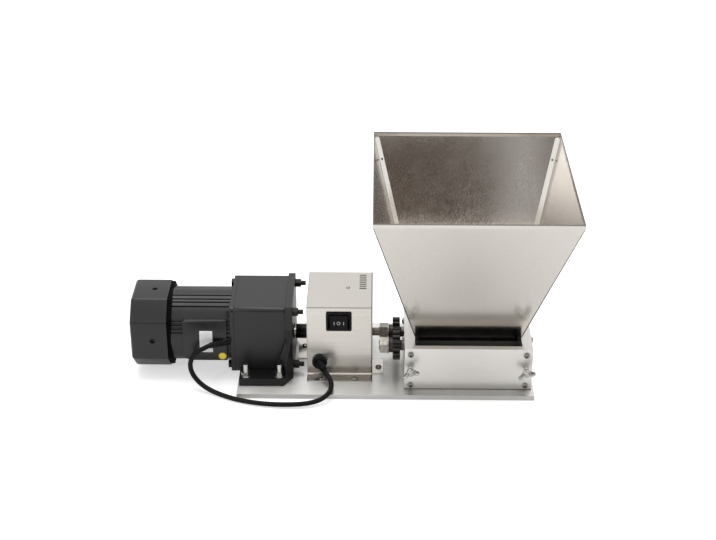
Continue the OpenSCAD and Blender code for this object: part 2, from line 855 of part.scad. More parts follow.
module box_right_panel() {
    color("#bfb8af")
        box_panel(box_x1, 1, out_d + 8, box_y0 + box_t + fit_gap, -5, box_screw_places[4]);
}

// Six screws hold the box on the base plate
module box_screws() {
    color("#b9babb")
        for (p = box_screw_places) {
            bar_z(screw_head_d, base_t + box_t, base_t + box_t + screw_head_h, p[0], p[1]);
            bar_z(screw_d, 1, base_t + box_t + 0.5, p[0], p[1]);
        }
}

// Switch body with its frame, held in the front of the box
module switch_housing() {
    pivot_y = box_y0 - bezel_t + rocker_pivot;
    color("#18181a")
        difference() {
            union() {
                along_y(box_y0 - bezel_t, box_y0)
                    translate([switch_cx, switch_z])
                        round_rect(switch_w, switch_h, 2);
                along_y(box_y0 - 0.5, box_y0 + switch_body_l)
                    translate([switch_cx, switch_z])
                        square([switch_body_w, switch_body_h], center = true);
            }
            along_y(box_y0 - bezel_t - 1, box_y0 + 9)
                translate([switch_cx, switch_z])
                    square([rocker_hole_w, rocker_hole_h], center = true);
            bar_z(rocker_pin_d + 2 * run_gap, switch_z - rocker_hole_h / 2 - 0.5,
                switch_z + rocker_hole_h / 2 + 0.5, switch_cx, pivot_y);
        }
}

// Rocker with its pivot pin; it tips to the left and to the right
module switch_rocker() {
    face_y = box_y0 - bezel_t;
    pivot_y = face_y + rocker_pivot;
    color("#1d1d1f") {
        translate([switch_cx, 0, switch_z - rocker_h / 2])
            linear_extrude(height = rocker_h)
                polygon([
                    [-rocker_half, face_y - 2.4], [0, face_y - 1], [rocker_half, face_y - 2.4],
                    [rocker_half, face_y + 1.5], [rocker_half - 4, pivot_y + 2],
                    [4 - rocker_half, pivot_y + 2], [-rocker_half, face_y + 1.5]
                ]);
        bar_z(rocker_pin_d, switch_z - rocker_hole_h / 2 - 0.3, switch_z + rocker_hole_h / 2 + 0.3,
            switch_cx, pivot_y);
    }
}

// Motor capacitor, lying along the back wall of the box
module run_capacitor() {
    d = capacitor_d;
    color("#d8d8d4")
        bar_x(d, box_x0 + capacitor_in, box_x1 - capacitor_end, box_y1 - box_t - d / 2, box_top - box_t - d / 2);
}

// Terminal strip on the base plate inside the box
module terminal_block() {
    color("#e4e2da")
        difference() {
            block(box_cx - 20, box_cx + 20, box_y1 - 22, box_y1 - 8, base_t, base_t + 14);
            for (i = [-2 : 2])
                bar_z(4, base_t + 6, base_t + 15, box_cx + i * 7.5, box_y1 - 15);
        }
}

// Inlet for the mains lead in the back of the box
module power_inlet() {
    z = base_t + 45;
    color("#1b1b1d") {
        difference() {
            union() {
                along_y(box_y1 - 16, box_y1 + 0.5)
                    translate([box_cx, z]) square([27, 20], center = true);
                along_y(box_y1, box_y1 + 2.5)
                    translate([box_cx, z]) round_rect(31, 24, 2);
            }
            along_y(box_y1 - 12, box_y1 + 4)
                translate([box_cx, z]) round_rect(23, 15, 2);
        }
        for (p = [[-7, -2], [0, 2], [7, -2]])
            along_y(box_y1 - 13, box_y1 - 1)
                translate([box_cx + p[0], z + p[1]]) square([2, 5], center = true);
    }
}

// One jaw of a coupling hub, rooted a little in the hub
module jaw(x0, x1, turn) {
    inner = core_r + 0.5;
    outer = coupling_d / 2 - 0.2;
    translate([x0, 0, axis_z])
        rotate([turn, 0, 0])
            rotate([0, 90, 0])
                rotate([0, 0, -jaw_half])
                    rotate_extrude(angle = 2 * jaw_half)
                        translate([inner, 0])
                            square([outer - inner, x1 - x0]);
}

module coupling_hub_motor() {
    color("#242426") {
        difference() {
            bar_x(coupling_d, hub1_x0, hub1_x1);
            bar_x(out_d + 2 * fit_gap, hub1_x0 - 1, hub1_x1 - 2);
        }
        for (a = [0, 120, 240])
            jaw(hub1_x1 - 1, hub2_x0 - jaw_gap, a);
    }
}

module coupling_hub_mill() {
    color("#242426") {
        difference() {
            bar_x(coupling_d, hub2_x0, hub2_x1);
            bar_x(out_d + 2 * fit_gap, hub2_x0 + 2, hub2_x1 + 1);
        }
        for (a = [60, 180, 300])
            jaw(hub1_x1 + jaw_gap, hub2_x0 + 1, a);
    }
}

// Elastic star between the jaws
module coupling_spider() {
    half = 30 - jaw_half - 0.5;
    color("#a33a2c") {
        bar_x(2 * core_r, hub1_x1, hub2_x0);
        for (i = [0 : 5])
            translate([hub1_x1 + jaw_gap, 0, axis_z])
                rotate([30 + 60 * i, 0, 0])
                    rotate([0, 90, 0])
                        rotate([0, 0, -half])
                            rotate_extrude(angle = 2 * half)
                                translate([core_r - 0.5, 0])
                                    square([coupling_d / 2 - core_r, jaw_l - 2 * jaw_gap]);
    }
}

module output_shaft() {
    color("#9a9b9d") bar_x(out_d, wheel2_x0 - 2, hub1_x1 - 2.5);
}

module output_wheel() {
    color("#6d6e70")
        difference() {
            gear_x(wheel2_teeth, module2, 0, wheel2_x0, wheel2_x1, 0, axis_z);
            bar_x(out_d + 2 * fit_gap, wheel2_x0 - 1, wheel2_x1 + 1);
        }
}

// Ball bearings are drawn as plain rings
module ring_x(od, id, x0, x1, y, z) {
    difference() {
        bar_x(od, x0, x1, y, z);
        bar_x(id, x0 - 1, x1 + 1, y, z);
    }
}

module output_bearings() {
    color("#a8a9ab") {
        ring_x(ball_d, out_d + 2 * run_gap, boss_x0, boss_x0 + ball_w, 0, axis_z);
        ring_x(ball_d, out_d + 2 * run_gap, case_x1 - ball_w, case_x1, 0, axis_z);
    }
}

// Countershaft with the first wheel and the second pinion
module countershaft() {
    bearing2 = atan2(counter_dz, counter_y);
    bearing1 = atan2(counter_dz - motor_rise, counter_y);
    turn2 = mesh_turn(0, wheel2_teeth, pinion2_teeth, bearing2);
    color("#7b7c7e") {
        bar_x(counter_d, lid_x0 + 1, case_x1 - 1, counter_y, counter_z);
        gear_x(wheel1_teeth, module1, wheel1_turn, wheel1_x0, wheel1_x1, counter_y, counter_z);
        gear_x(pinion2_teeth, module2, turn2, wheel2_x0 - 2, wheel2_x1 + 1, counter_y, counter_z);
    }
}

// The first wheel stands with a tooth straight towards the motor pinion
wheel1_turn = atan2(counter_dz - motor_rise, counter_y) + 180;

module countershaft_bushes() {
    color("#b08a4a") {
        ring_x(counter_bush_d, counter_d + 2 * run_gap, lid_x0, case_x0, counter_y, counter_z);
        ring_x(counter_bush_d, counter_d + 2 * run_gap, case_x1 - case_wall - 4, case_x1, counter_y, counter_z);
    }
}

// Square gear case, open towards the motor
module gear_case() {
    color("#343437")
        difference() {
            union() {
                difference() {
                    translate([0, 0, motor_z])
                        along_x(case_x0, case_x1)
                            round_rect(case_s, case_s, 6);
                    translate([0, 0, motor_z])
                        along_x(case_x0 - 1, case_x1 - case_wall)
                            difference() {
                                square(case_s - 2 * case_wall, center = true);
                                for (y = [-1, 1], z = [-1, 1])
                                    translate([y * bolt_half, z * bolt_half]) circle(d = bolt_d + 6);
                            }
                }
                bar_x(ball_d + 6, boss_x0, case_x1 - 1);
                bar_x(counter_bush_d + 5, case_x1 - case_wall - 4, case_x1 - 1, counter_y, counter_z);
            }
            bar_x(out_d + 6, boss_x0 - 1, case_x1 + 1);
            bar_x(ball_d + 2 * fit_gap, boss_x0 - 1, boss_x0 + ball_w);
            bar_x(ball_d + 2 * fit_gap, case_x1 - ball_w, case_x1 + 1);
            bar_x(counter_bush_d + 2 * fit_gap, case_x1 - case_wall - 5, case_x1 + 1, counter_y, counter_z);
            bolt_holes(case_x0 - 1, case_x1 + 1);
        }
}

module bolt_holes(x0, x1) {
    for (p = bolt_places)
        bar_x(bolt_d + 2 * fit_gap, x0, x1, p[0], p[1]);
}

// Lid between gear case and motor, with the front motor bearing
module gear_case_lid() {
    color("#303033")
        difference() {
            union() {
                translate([0, 0, motor_z])
                    along_x(lid_x0, case_x0)
                        round_rect(case_s, case_s, 6);
                bar_x(ball_d + 2 * ball_wall, lid_x0 - 6, lid_x0 + 1, 0, motor_z);
            }
            bar_x(motor_seat_d + 4, lid_x0 - 7, case_x0 + 1, 0, motor_z);
            bar_x(ball_d + 2 * fit_gap, lid_x0 - 7, lid_x0 - 6 + ball_w, 0, motor_z);
            bar_x(counter_bush_d + 2 * fit_gap, lid_x0 - 1, case_x0 + 1, counter_y, counter_z);
            bolt_holes(lid_x0 - 1, case_x0 + 1);
        }
}

// Cast bracket: upright plate, two feet and a buttress at each side
module motor_bracket() {
    plate_w = case_s + 4;
    plate_top = motor_z + plate_w / 2;
    foot_x0 = bracket_x1 - foot_l;
    inner = case_s / 2 + 0.5;
    color("#1f1f21")
        difference() {
            union() {
                along_x(bracket_x0, bracket_x1)
                    polygon([
                        [-foot_d / 2, base_t], [foot_d / 2, base_t], [foot_d / 2, base_t + foot_t],
                        [plate_w / 2, base_t + foot_t + 56], [plate_w / 2, plate_top - 3],
                        [plate_w / 2 - 3, plate_top], [3 - plate_w / 2, plate_top], [-plate_w / 2, plate_top - 3],
                        [-plate_w / 2, base_t + foot_t + 56], [-foot_d / 2, base_t + foot_t]
                    ]);
                for (s = [0, 1])
                    mirror([0, s, 0]) {
                        block(foot_x0, bracket_x1, -foot_d / 2, -inner, base_t, base_t + foot_t);
                        buttress(inner);
                    }
            }
            for (s = [0, 1])
                mirror([0, s, 0])
                    translate([0, 0, base_t - 1])
                        linear_extrude(height = case_s + 20)
                            polygon([
                                [bracket_x1 - 11, -foot_d / 2 - 1], [bracket_x1 - 11, -foot_d / 2],
                                [bracket_x1, -foot_d / 2 + 19], [bracket_x1 + 1, -foot_d / 2 + 19],
                                [bracket_x1 + 1, -foot_d / 2 - 1]
                            ]);
            bar_x(ball_d - 4, bracket_x0 - 1, bracket_x1 + 1);
            bolt_holes(bracket_x0 - 1, bracket_x1 + 1);
            for (x = foot_bolt_xs, y = foot_bolt_ys) {
                bar_z(bolt_d + 2 * fit_gap, base_t - 1, base_t + foot_t + 60, x, y);
                bar_z(bolt_af / cos(30) + 2, base_t + foot_t, base_t + foot_t + 60, x, y);
            }
        }
}

// Sloping rib from the upright plate down to the foot
module buttress(inner) {
    translate([0, -inner, 0])
        rotate([90, 0, 0])
            linear_extrude(height = 9)
                polygon([
                    [bracket_x0 - 14, base_t + foot_t], [bracket_x0 + 1, base_t + foot_t],
                    [bracket_x0 + 1, base_t + foot_t + 46]
                ]);
}

// Four long bolts from the lid to the bracket
module bracket_bolts() {
    color("#232325")
        for (p = bolt_places) {
            hex_x(bolt_af, lid_x0 - bolt_head_h, lid_x0, p[0], p[1]);
            bar_x(bolt_d, lid_x0 - 0.5, bracket_x1 + bolt_tip, p[0], p[1]);
        }
}

module bracket_nuts() {
    color("#232325")
        for (p = bolt_places)
            difference() {
                hex_x(bolt_af, bracket_x1, bracket_x1 + bracket_nut_h, p[0], p[1]);
                bar_x(bolt_d + 2 * fit_gap, bracket_x1 - 1, bracket_x1 + bracket_nut_h + 1, p[0], p[1]);
            }
}

// Bolts from below the base plate that hold the bracket
module foot_bolts() {
    color("#b4b5b6")
        for (x = foot_bolt_xs, y = foot_bolt_ys)
            countersunk(bolt_d, 12, 3, x, y, base_t + foot_t + foot_bolt_tip);
}

// Nut and washer on each foot bolt
module foot_nuts() {
    z = base_t + foot_t;
    color("#b4b5b6")
        for (x = foot_bolt_xs, y = foot_bolt_ys)
            difference() {
                union() {
                    bar_z(bolt_af / cos(30), z, z + 1.2, x, y);
                    translate([x, y, z + 1.2])
                        cylinder(d = bolt_af / cos(30), h = bolt_nut_h, $fn = 6);
                }
                bar_z(bolt_d + 2 * fit_gap, z - 1, z + bolt_nut_h + 2, x, y);
            }
}

// Finned motor housing with the flat terminal pad at the front
module motor_housing() {
    fins = 30;
    color("#38383b")
        difference() {
            union() {
                bar_x(2 * shell_r, motor_x0, motor_x1, 0, motor_z);
                translate([0, 0, motor_z])
                    for (i = [0 : fins - 1])
                        rotate([i * 360 / fins, 0, 0])
                            block(motor_x0, motor_x1, shell_r - 1, motor_d / 2, -1.6, 1.6);
                intersection() {
                    block(motor_x1 - pad_l - 4, motor_x1 - 4, -pad_out, 1 - bore_d / 2,
                        motor_z - pad_h / 2, motor_z + pad_h / 2);
                    union() {
                        bar_x(2 * pad_out + 1.2, motor_x0, motor_x1, 0, motor_z);
                        block(motor_x0, motor_x1, -pad_out - 3, 0, motor_z - pad_h, motor_z + 2);
                    }
                }
            }
            bar_x(bore_d, motor_x0 - 1, motor_x1 + 1, 0, motor_z);
            for (p = bolt_places)
                bar_x(bolt_af / cos(30) + 1, motor_x1 - bolt_head_h - 1, motor_x1 + 1, p[0], p[1]);
        }
}

// Rear end plate with the rear bearing and the posts for the fan cover
module motor_end_plate() {
    post_out = cap_s / 2 - 2 - fit_gap;
    color("#2e2e31")
        difference() {
            union() {
                bar_x(2 * shell_r, end_x0, motor_x0, 0, motor_z);
                bar_x(ball_d + 2 * ball_wall, end_x0, motor_x0 + 7, 0, motor_z);
                translate([0, 0, motor_z])
                    for (i = [0 : 3])
                        rotate([i * 90, 0, 0])
                            block(end_x0 - 26, end_x0 + 1, -5, 5, post_out - 8, post_out);
            }
            bar_x(motor_seat_d + 4, end_x0 - 1, motor_x0 + 8, 0, motor_z);
            bar_x(ball_d + 2 * fit_gap, motor_x0 + 7 - ball_w, motor_x0 + 8, 0, motor_z);
            cap_screw_holes(3);
        }
}

// Radial holes for the fan cover screws
module cap_screw_holes(d) {
    translate([cap_screw_x, 0, motor_z])
        for (i = [0 : 3])
            rotate([i * 90, 0, 0])
                translate([0, 0, cap_s / 2 - 9])
                    cylinder(d = d + 2 * fit_gap, h = 12);
}

cap_screw_x = cap_x1 - 18;

module motor_bearings() {
    color("#a8a9ab") {
        ring_x(ball_d, motor_seat_d + 2 * run_gap, lid_x0 - 6, lid_x0 - 6 + ball_w, 0, motor_z);
        ring_x(ball_d, motor_seat_d + 2 * run_gap, motor_x0 + 7 - ball_w, motor_x0 + 7, 0, motor_z);
    }
}

module stator_core() {
    color("#6b6c70") ring_x(bore_d - 2 * fit_gap, rotor_d + 0.8, stack_x0, stack_x1, 0, motor_z);
}

// End turns of the windings at both ends of the core
module stator_windings() {
    color("#a5622c") {
        ring_x(bore_d - 6, rotor_d + 6, stack_x0 - 7, stack_x0, 0, motor_z);
        ring_x(bore_d - 6, rotor_d + 6, stack_x1, stack_x1 + 7, 0, motor_z);
    }
}

module rotor_core() {
    color("#77787b") ring_x(rotor_d, motor_shaft_d + 2 * fit_gap, stack_x0, stack_x1, 0, motor_z);
}

// Motor shaft with the pinion cut on its end
module motor_shaft() {
    bearing1 = atan2(motor_rise - counter_dz, -counter_y);
    turn1 = mesh_turn(wheel1_turn, wheel1_teeth, pinion1_teeth, bearing1);
    color("#9a9b9d") {
        bar_x(motor_seat_d, cap_x0 + 10, motor_x0 + 8, 0, motor_z);
        bar_x(motor_shaft_d, motor_x0 + 8, lid_x0 - 7, 0, motor_z);
        bar_x(motor_seat_d, lid_x0 - 7, case_x0, 0, motor_z);
        bar_x(motor_seat_d - 3, case_x0 - 0.5, wheel1_x0 + 0.5, 0, motor_z);
        gear_x(pinion1_teeth, module1, turn1, wheel1_x0 - 0.5, wheel1_x1 + 1, 0, motor_z);
    }
}

// Radial fan on the rear shaft end
module cooling_fan() {
    x0 = cap_x0 + 12;
    x1 = end_x0 - 6;
    r = cap_s / 2 - 2 - 10;
    color("#202022")
        difference() {
            union() {
                bar_x(20, x0, x1, 0, motor_z);
                bar_x(2 * r, x1 - 2, x1, 0, motor_z);
                translate([0, 0, motor_z])
                    for (i = [0 : 7])
                        rotate([i * 45, 0, 0])
                            block(x0 + 2, x1 - 1, -1, 1, 8, r);
            }
            bar_x(motor_seat_d + 2 * fit_gap, x0 - 1, x1 + 1, 0, motor_z);
        }
}

// Eight-sided fan cover with air slots in its end
module fan_cover() {
    wall = 2;
    nose = 5;
    color("#3a3a3d")
        translate([0, 0, motor_z])
            difference() {
                union() {
                    along_x(cap_x0 + nose, cap_x1) cut_square(cap_s, cap_cut);
                    translate([cap_x0 + nose, 0, 0])
                        rotate([90, 0, -90])
                            linear_extrude(height = nose, scale = 1 - 2 * nose / cap_s)
                                cut_square(cap_s, cap_cut);
                }
                along_x(cap_x0 + nose, cap_x1 + 1) cut_square(cap_s - 2 * wall, cap_cut - wall * 0.6);
                along_x(cap_x0 + wall, cap_x0 + nose + 1) cut_square(cap_s - 14, cap_cut - 3);
                for (i = [-4 : 4])
                    block(cap_x0 - 1, cap_x0 + wall + 1, -26 + abs(i) * 2.5, 26 - abs(i) * 2.5, i * 7 - 1.5, i * 7 + 1.5);
                translate([0, 0, -motor_z]) cap_screw_holes(3);
            }
}

module fan_cover_screws() {
    color("#19191b")
        translate([cap_screw_x, 0, motor_z])
            for (i = [0 : 3])
                rotate([i * 90, 0, 0])
                    translate([0, 0, cap_s / 2 - 8])
                        cylinder(d = 3, h = 7.5);
}

// Strain relief of the cable on the terminal pad, cut off flush with the pad
module motor_cable_gland() {
    v = motor_gland_to - motor_gland_at;
    l = norm(v);
    color("#151517")
        difference() {
            translate(motor_gland_to)
                rotate([0, acos(-v[2] / l), atan2(-v[1], -v[0])])
                    cylinder(d1 = 7.5, d2 = 11, h = l + 8);
            block(motor_gland_at[0] - 40, motor_gland_at[0] + 40, -pad_out, 20 - pad_out, 0, motor_z + 30);
        }
}

// Strain relief of the cable in the front of the box
module box_cable_gland() {
    from = [box_gland_x, box_y0 - 4, box_gland_z];
    v = box_gland_to - from;
    l = norm(v);
    color("#151517") {
        translate([box_gland_x, box_y0, box_gland_z]) rotate([90, 0, 0]) cylinder(d = 18.5, h = 5);
        translate(from)
            rotate([0, acos(v[2] / l), atan2(v[1], v[0])])
                cylinder(d1 = 13, d2 = 9, h = l);
        bar_y(12, box_y0 - 1, box_y0 + box_t + 4, box_gland_x, box_gland_z);
        bar_y(15, box_y0 + box_t, box_y0 + box_t + 4, box_gland_x, box_gland_z);
    }
}

// Direction of the cable at point i
function cable_way(p, i) =
    let (a = p[max(i - 1, 0)], b = p[min(i + 1, len(p) - 1)])
    (b - a) / norm(b - a);

// A ring of points around point i, square to the cable
function cable_ring(p, i) =
    let (
        w = cable_way(p, i),
        side = cross(w, [0, 0, 1]) / norm(cross(w, [0, 0, 1])),
        up = cross(side, w)
    )
    [for (k = [0 : cable_sides - 1])
        let (a = 360 * (k + 0.5) / cable_sides)
        p[i] + cable_d / 2 * (cos(a) * side + sin(a) * up)];

// Cable from the motor to the box, both ends in their strain reliefs
module motor_cable() {
    p = cable_points;
    n = len(p);
    s = cable_sides;
    color("#111113")
        polyhedron(
            points = [for (i = [0 : n - 1]) each cable_ring(p, i)],
            faces = concat(
                [[for (k = [0 : s - 1]) k]],
                [[for (k = [s - 1 : -1 : 0]) (n - 1) * s + k]],
                [for (i = [0 : n - 2], k = [0 : s - 1])
                    [i * s + k, (i + 1) * s + k, (i + 1) * s + (k + 1) % s, i * s + (k + 1) % s]]
            )
        );
}

base_plate();
side_plate_left();
side_plate_right();
front_cover();
rear_cover();
cover_screws();
side_plate_screws();
drive_bushes();
bearing_blocks();
wing_screw_left();
wing_screw_right();
drive_roller();
drive_gear();
drive_gear_nut();
front_roller();
front_gear();
front_gear_nut();
hopper_front_panel();
hopper_rear_panel();
hopper_left_panel();
hopper_right_panel();
hopper_corner_strips();
hopper_screws();
box_shell();
box_left_panel();
box_right_panel();
box_screws();
switch_housing();
switch_rocker();
run_capacitor();
terminal_block();
power_inlet();
coupling_hub_motor();
coupling_spider();
coupling_hub_mill();
output_shaft();
output_wheel();
output_bearings();
countershaft();
countershaft_bushes();
gear_case();
gear_case_lid();
motor_bracket();
bracket_bolts();
bracket_nuts();
foot_bolts();
foot_nuts();
motor_housing();
motor_end_plate();
motor_bearings();
stator_core();
stator_windings();
rotor_core();
motor_shaft();
cooling_fan();
fan_cover();
fan_cover_screws();
motor_cable_gland();
box_cable_gland();
motor_cable();
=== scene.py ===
"""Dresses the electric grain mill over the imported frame: finishes, small trim, motor cable, light and camera."""

from __future__ import annotations

import logging
import math
from dataclasses import dataclass, field, replace
from enum import Enum
from typing import Any, Callable, Iterable, Sequence

import bmesh
import bpy
from mathutils import Matrix, Vector

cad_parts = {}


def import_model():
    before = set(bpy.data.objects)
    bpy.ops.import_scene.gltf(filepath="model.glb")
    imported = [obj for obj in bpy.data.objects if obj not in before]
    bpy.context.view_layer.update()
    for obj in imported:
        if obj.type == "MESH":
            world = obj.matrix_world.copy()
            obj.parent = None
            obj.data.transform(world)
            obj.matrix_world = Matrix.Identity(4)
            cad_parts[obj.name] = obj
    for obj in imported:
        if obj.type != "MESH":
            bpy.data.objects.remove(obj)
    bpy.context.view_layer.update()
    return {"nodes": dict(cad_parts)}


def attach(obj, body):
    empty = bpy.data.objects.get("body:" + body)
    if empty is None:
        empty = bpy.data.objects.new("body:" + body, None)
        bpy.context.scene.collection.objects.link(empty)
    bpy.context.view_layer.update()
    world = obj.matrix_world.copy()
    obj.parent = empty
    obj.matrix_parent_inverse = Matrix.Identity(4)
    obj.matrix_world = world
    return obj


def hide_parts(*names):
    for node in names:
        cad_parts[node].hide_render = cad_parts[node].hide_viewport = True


LOG = logging.getLogger("grain_mill")
MM = 0.001
QUARTER = math.pi / 2
LEFT, RIGHT = (-1, 0, 0), (1, 0, 0)
FRONT, REAR = (0, -1, 0), (0, 1, 0)
UP = (0, 0, 1)
MATH = "ShaderNodeMath"

# The rollers' radius, the middle of their working length along X and half that length, in mm.
ROLLER_R = 15.875
ROLLER_X = 100.0
ROLLER_HALF = 61.2

BMesh = bmesh.types.BMesh
Tree = bpy.types.NodeTree
Socket = bpy.types.NodeSocket
Point = tuple[float, float, float]
Profile = Sequence[tuple[float, float]]


def mm(*values: float) -> Vector:
    """Turns millimetres into a vector in metres."""
    return Vector(values) * MM


def srgb(code: str) -> tuple[float, float, float, float]:
    """Turns an sRGB hex colour into linear values.

    Args:
        code: The colour, such as "#c9c7c2".

    Returns:
        Red, green and blue in linear light, and 1 for alpha.
    """
    parts = [int(code[i : i + 2], 16) / 255 for i in (1, 3, 5)]
    linear = [c / 12.92 if c <= 0.04045 else ((c + 0.055) / 1.055) ** 2.4 for c in parts]
    return (linear[0], linear[1], linear[2], 1.0)


def add_node(
    tree: Tree,
    kind: str,
    settings: dict[str, Any] | None = None,
    values: dict[Any, Any] | None = None,
    links: dict[Any, Socket | bpy.types.Node] | None = None,
) -> bpy.types.Node:
    """Adds one shader node with its settings, values and links.

    Args:
        tree: The node tree that takes the node.
        kind: The node's type name.
        settings: Properties of the node itself.
        values: Values of its input sockets, by name or number.
        links: What feeds its inputs, by name or number: an output socket, or a node for its first output.

    Returns:
        The new node.
    """
    node = tree.nodes.new(kind)
    for key, value in (settings or {}).items():
        setattr(node, key, value)
    for key, value in (values or {}).items():
        node.inputs[key].default_value = value
    for key, source in (links or {}).items():
        socket = source.outputs[0] if isinstance(source, bpy.types.Node) else source
        tree.links.new(socket, node.inputs[key])
    return node


def empty_tree(owner: bpy.types.Material | bpy.types.World) -> Tree:
    """Gives a material or world a node tree with nothing in it."""
    owner.use_nodes = True
    owner.node_tree.nodes.clear()
    return owner.node_tree


class Pattern(Enum):
    """How a layer of a finish is drawn."""

    CLOUD = "cloud"
    STREAK = "streak"
    KNURL = "knurl"
    TURNS = "turns"
    ENDS = "ends"
    LINE = "line"


class Axis(Enum):
    """The direction that streaks run in, that turns go along or that a line crosses."""

    X = 0
    Y = 1
    Z = 2


@dataclass(frozen=True)
class Layer:
    """One pattern in a finish: what it does to the colour, the gloss and the surface.

    Attributes:
        pattern: How it is drawn.
        size: Width of its features, in mm.
        tint: Colour that it mixes in.
        amount: How much of that colour.
        rough: How far the roughness swings either way.
        bump: Height of its relief, in mm.
        axis: Direction of a streak, of turns or across a line.
        length: Length of a streak, in mm.
        low: Share of the pattern's range that counts as none of it.
        high: Share that counts as all of it.
        centre: Place of the axis that a knurl goes round, as y and z in mm.
        place: Where a line crosses its axis, in mm.
    """

    pattern: Pattern
    size: float
    tint: str = "#000000"
    amount: float = 0.0
    rough: float = 0.0
    bump: float = 0.0
    axis: Axis = Axis.X
    length: float = 60.0
    low: float = 0.32
    high: float = 0.68
    centre: tuple[float, float] = (0.0, 0.0)
    place: float = 0.0

    def factor(self, tree: Tree, coords: Socket) -> Socket:
        """Draws the pattern as a value from 0 to 1.

        Args:
            tree: The material's node tree.
            coords: The piece's object coordinates.

        Returns:
            The socket that gives the value.
        """
        if self.pattern is Pattern.KNURL:
            return self._knurl(tree, coords)
        if self.pattern is Pattern.ENDS:
            return self._beyond(tree, coords, "GREATER_THAN")
        if self.pattern is Pattern.LINE:
            along = add_node(tree, "ShaderNodeSeparateXYZ", links={0: coords}).outputs[self.axis.name]
            width = {1: self.place * MM, 2: self.size / 2 * MM}
            return add_node(tree, MATH, {"operation": "COMPARE"}, width, {0: along}).outputs[0]
        scale = [1 / (self.size * MM)] * 3
        if self.pattern is Pattern.STREAK:
            scale[self.axis.value] = 1 / (self.length * MM)
        mapped = add_node(tree, "ShaderNodeMapping", values={"Scale": scale}, links={"Vector": coords})
        if self.pattern is Pattern.TURNS:
            # A wave of scale 0.314 comes once in each unit.
            turns = {"Scale": 0.314, "Distortion": 0.4, "Detail": 1.0}
            bands = {"wave_type": "BANDS", "bands_direction": self.axis.name}
            return add_node(tree, "ShaderNodeTexWave", bands, turns, {"Vector": mapped}).outputs["Fac"]
        cloud = {"Scale": 1.0, "Detail": 3.0, "Roughness": 0.55}
        noise = add_node(tree, "ShaderNodeTexNoise", values=cloud, links={"Vector": mapped}).outputs["Fac"]
        spread = {"From Min": self.low, "From Max": self.high}
        return add_node(tree, "ShaderNodeMapRange", {"clamp": True}, spread, {"Value": noise}).outputs[0]

    def _beyond(self, tree: Tree, coords: Socket, side: str) -> Socket:
        """Tells a roller's working length from its ends.

        Args:
            tree: The material's node tree.
            coords: The piece's object coordinates.
            side: GREATER_THAN for the ends, LESS_THAN for the length between them.

        Returns:
            The socket that gives 1 there and 0 elsewhere.
        """
        along = add_node(tree, "ShaderNodeSeparateXYZ", links={0: coords}).outputs["X"]
        off = add_node(tree, MATH, {"operation": "SUBTRACT"}, {1: ROLLER_X * MM}, {0: along})
        away = add_node(tree, MATH, {"operation": "ABSOLUTE"}, links={0: off})
        return add_node(tree, MATH, {"operation": side}, {1: ROLLER_HALF * MM}, {0: away}).outputs[0]

    def _knurl(self, tree: Tree, coords: Socket) -> Socket:
        """Draws the crossed ridges of a knurl round a shaft along X.

        Args:
            tree: The material's node tree.
            coords: The piece's object coordinates.

        Returns:
            The socket that gives the height of the ridges.
        """
        at = add_node(tree, "ShaderNodeSeparateXYZ", links={0: coords}).outputs
        flat = [
            add_node(tree, MATH, {"operation": "SUBTRACT"}, {1: offset * MM}, {0: at[name]})
            for name, offset in zip("YZ", self.centre)
        ]
        angle = add_node(tree, MATH, {"operation": "ARCTAN2"}, links=dict(enumerate(flat)))
        # The stretch round the roller makes the ridges cross at 60 degrees.
        stretch = {1: ROLLER_R * MM * 1.73}
        around = add_node(tree, MATH, {"operation": "MULTIPLY"}, stretch, {0: angle})
        ridges = []
        for way in ("ADD", "SUBTRACT"):
            slant = add_node(tree, MATH, {"operation": way}, links={0: at["X"], 1: around})
            ridges.append(add_node(tree, MATH, {"operation": "PINGPONG"}, {1: self.size * MM}, {0: slant}))
        lower = add_node(tree, MATH, {"operation": "MINIMUM"}, links=dict(enumerate(ridges)))
        full = {"From Max": self.size * MM}
        relief = add_node(tree, "ShaderNodeMapRange", {"clamp": True}, full, {"Value": lower})
        inside = self._beyond(tree, coords, "LESS_THAN")
        return add_node(tree, MATH, {"operation": "MULTIPLY"}, links={0: relief, 1: inside}).outputs[0]


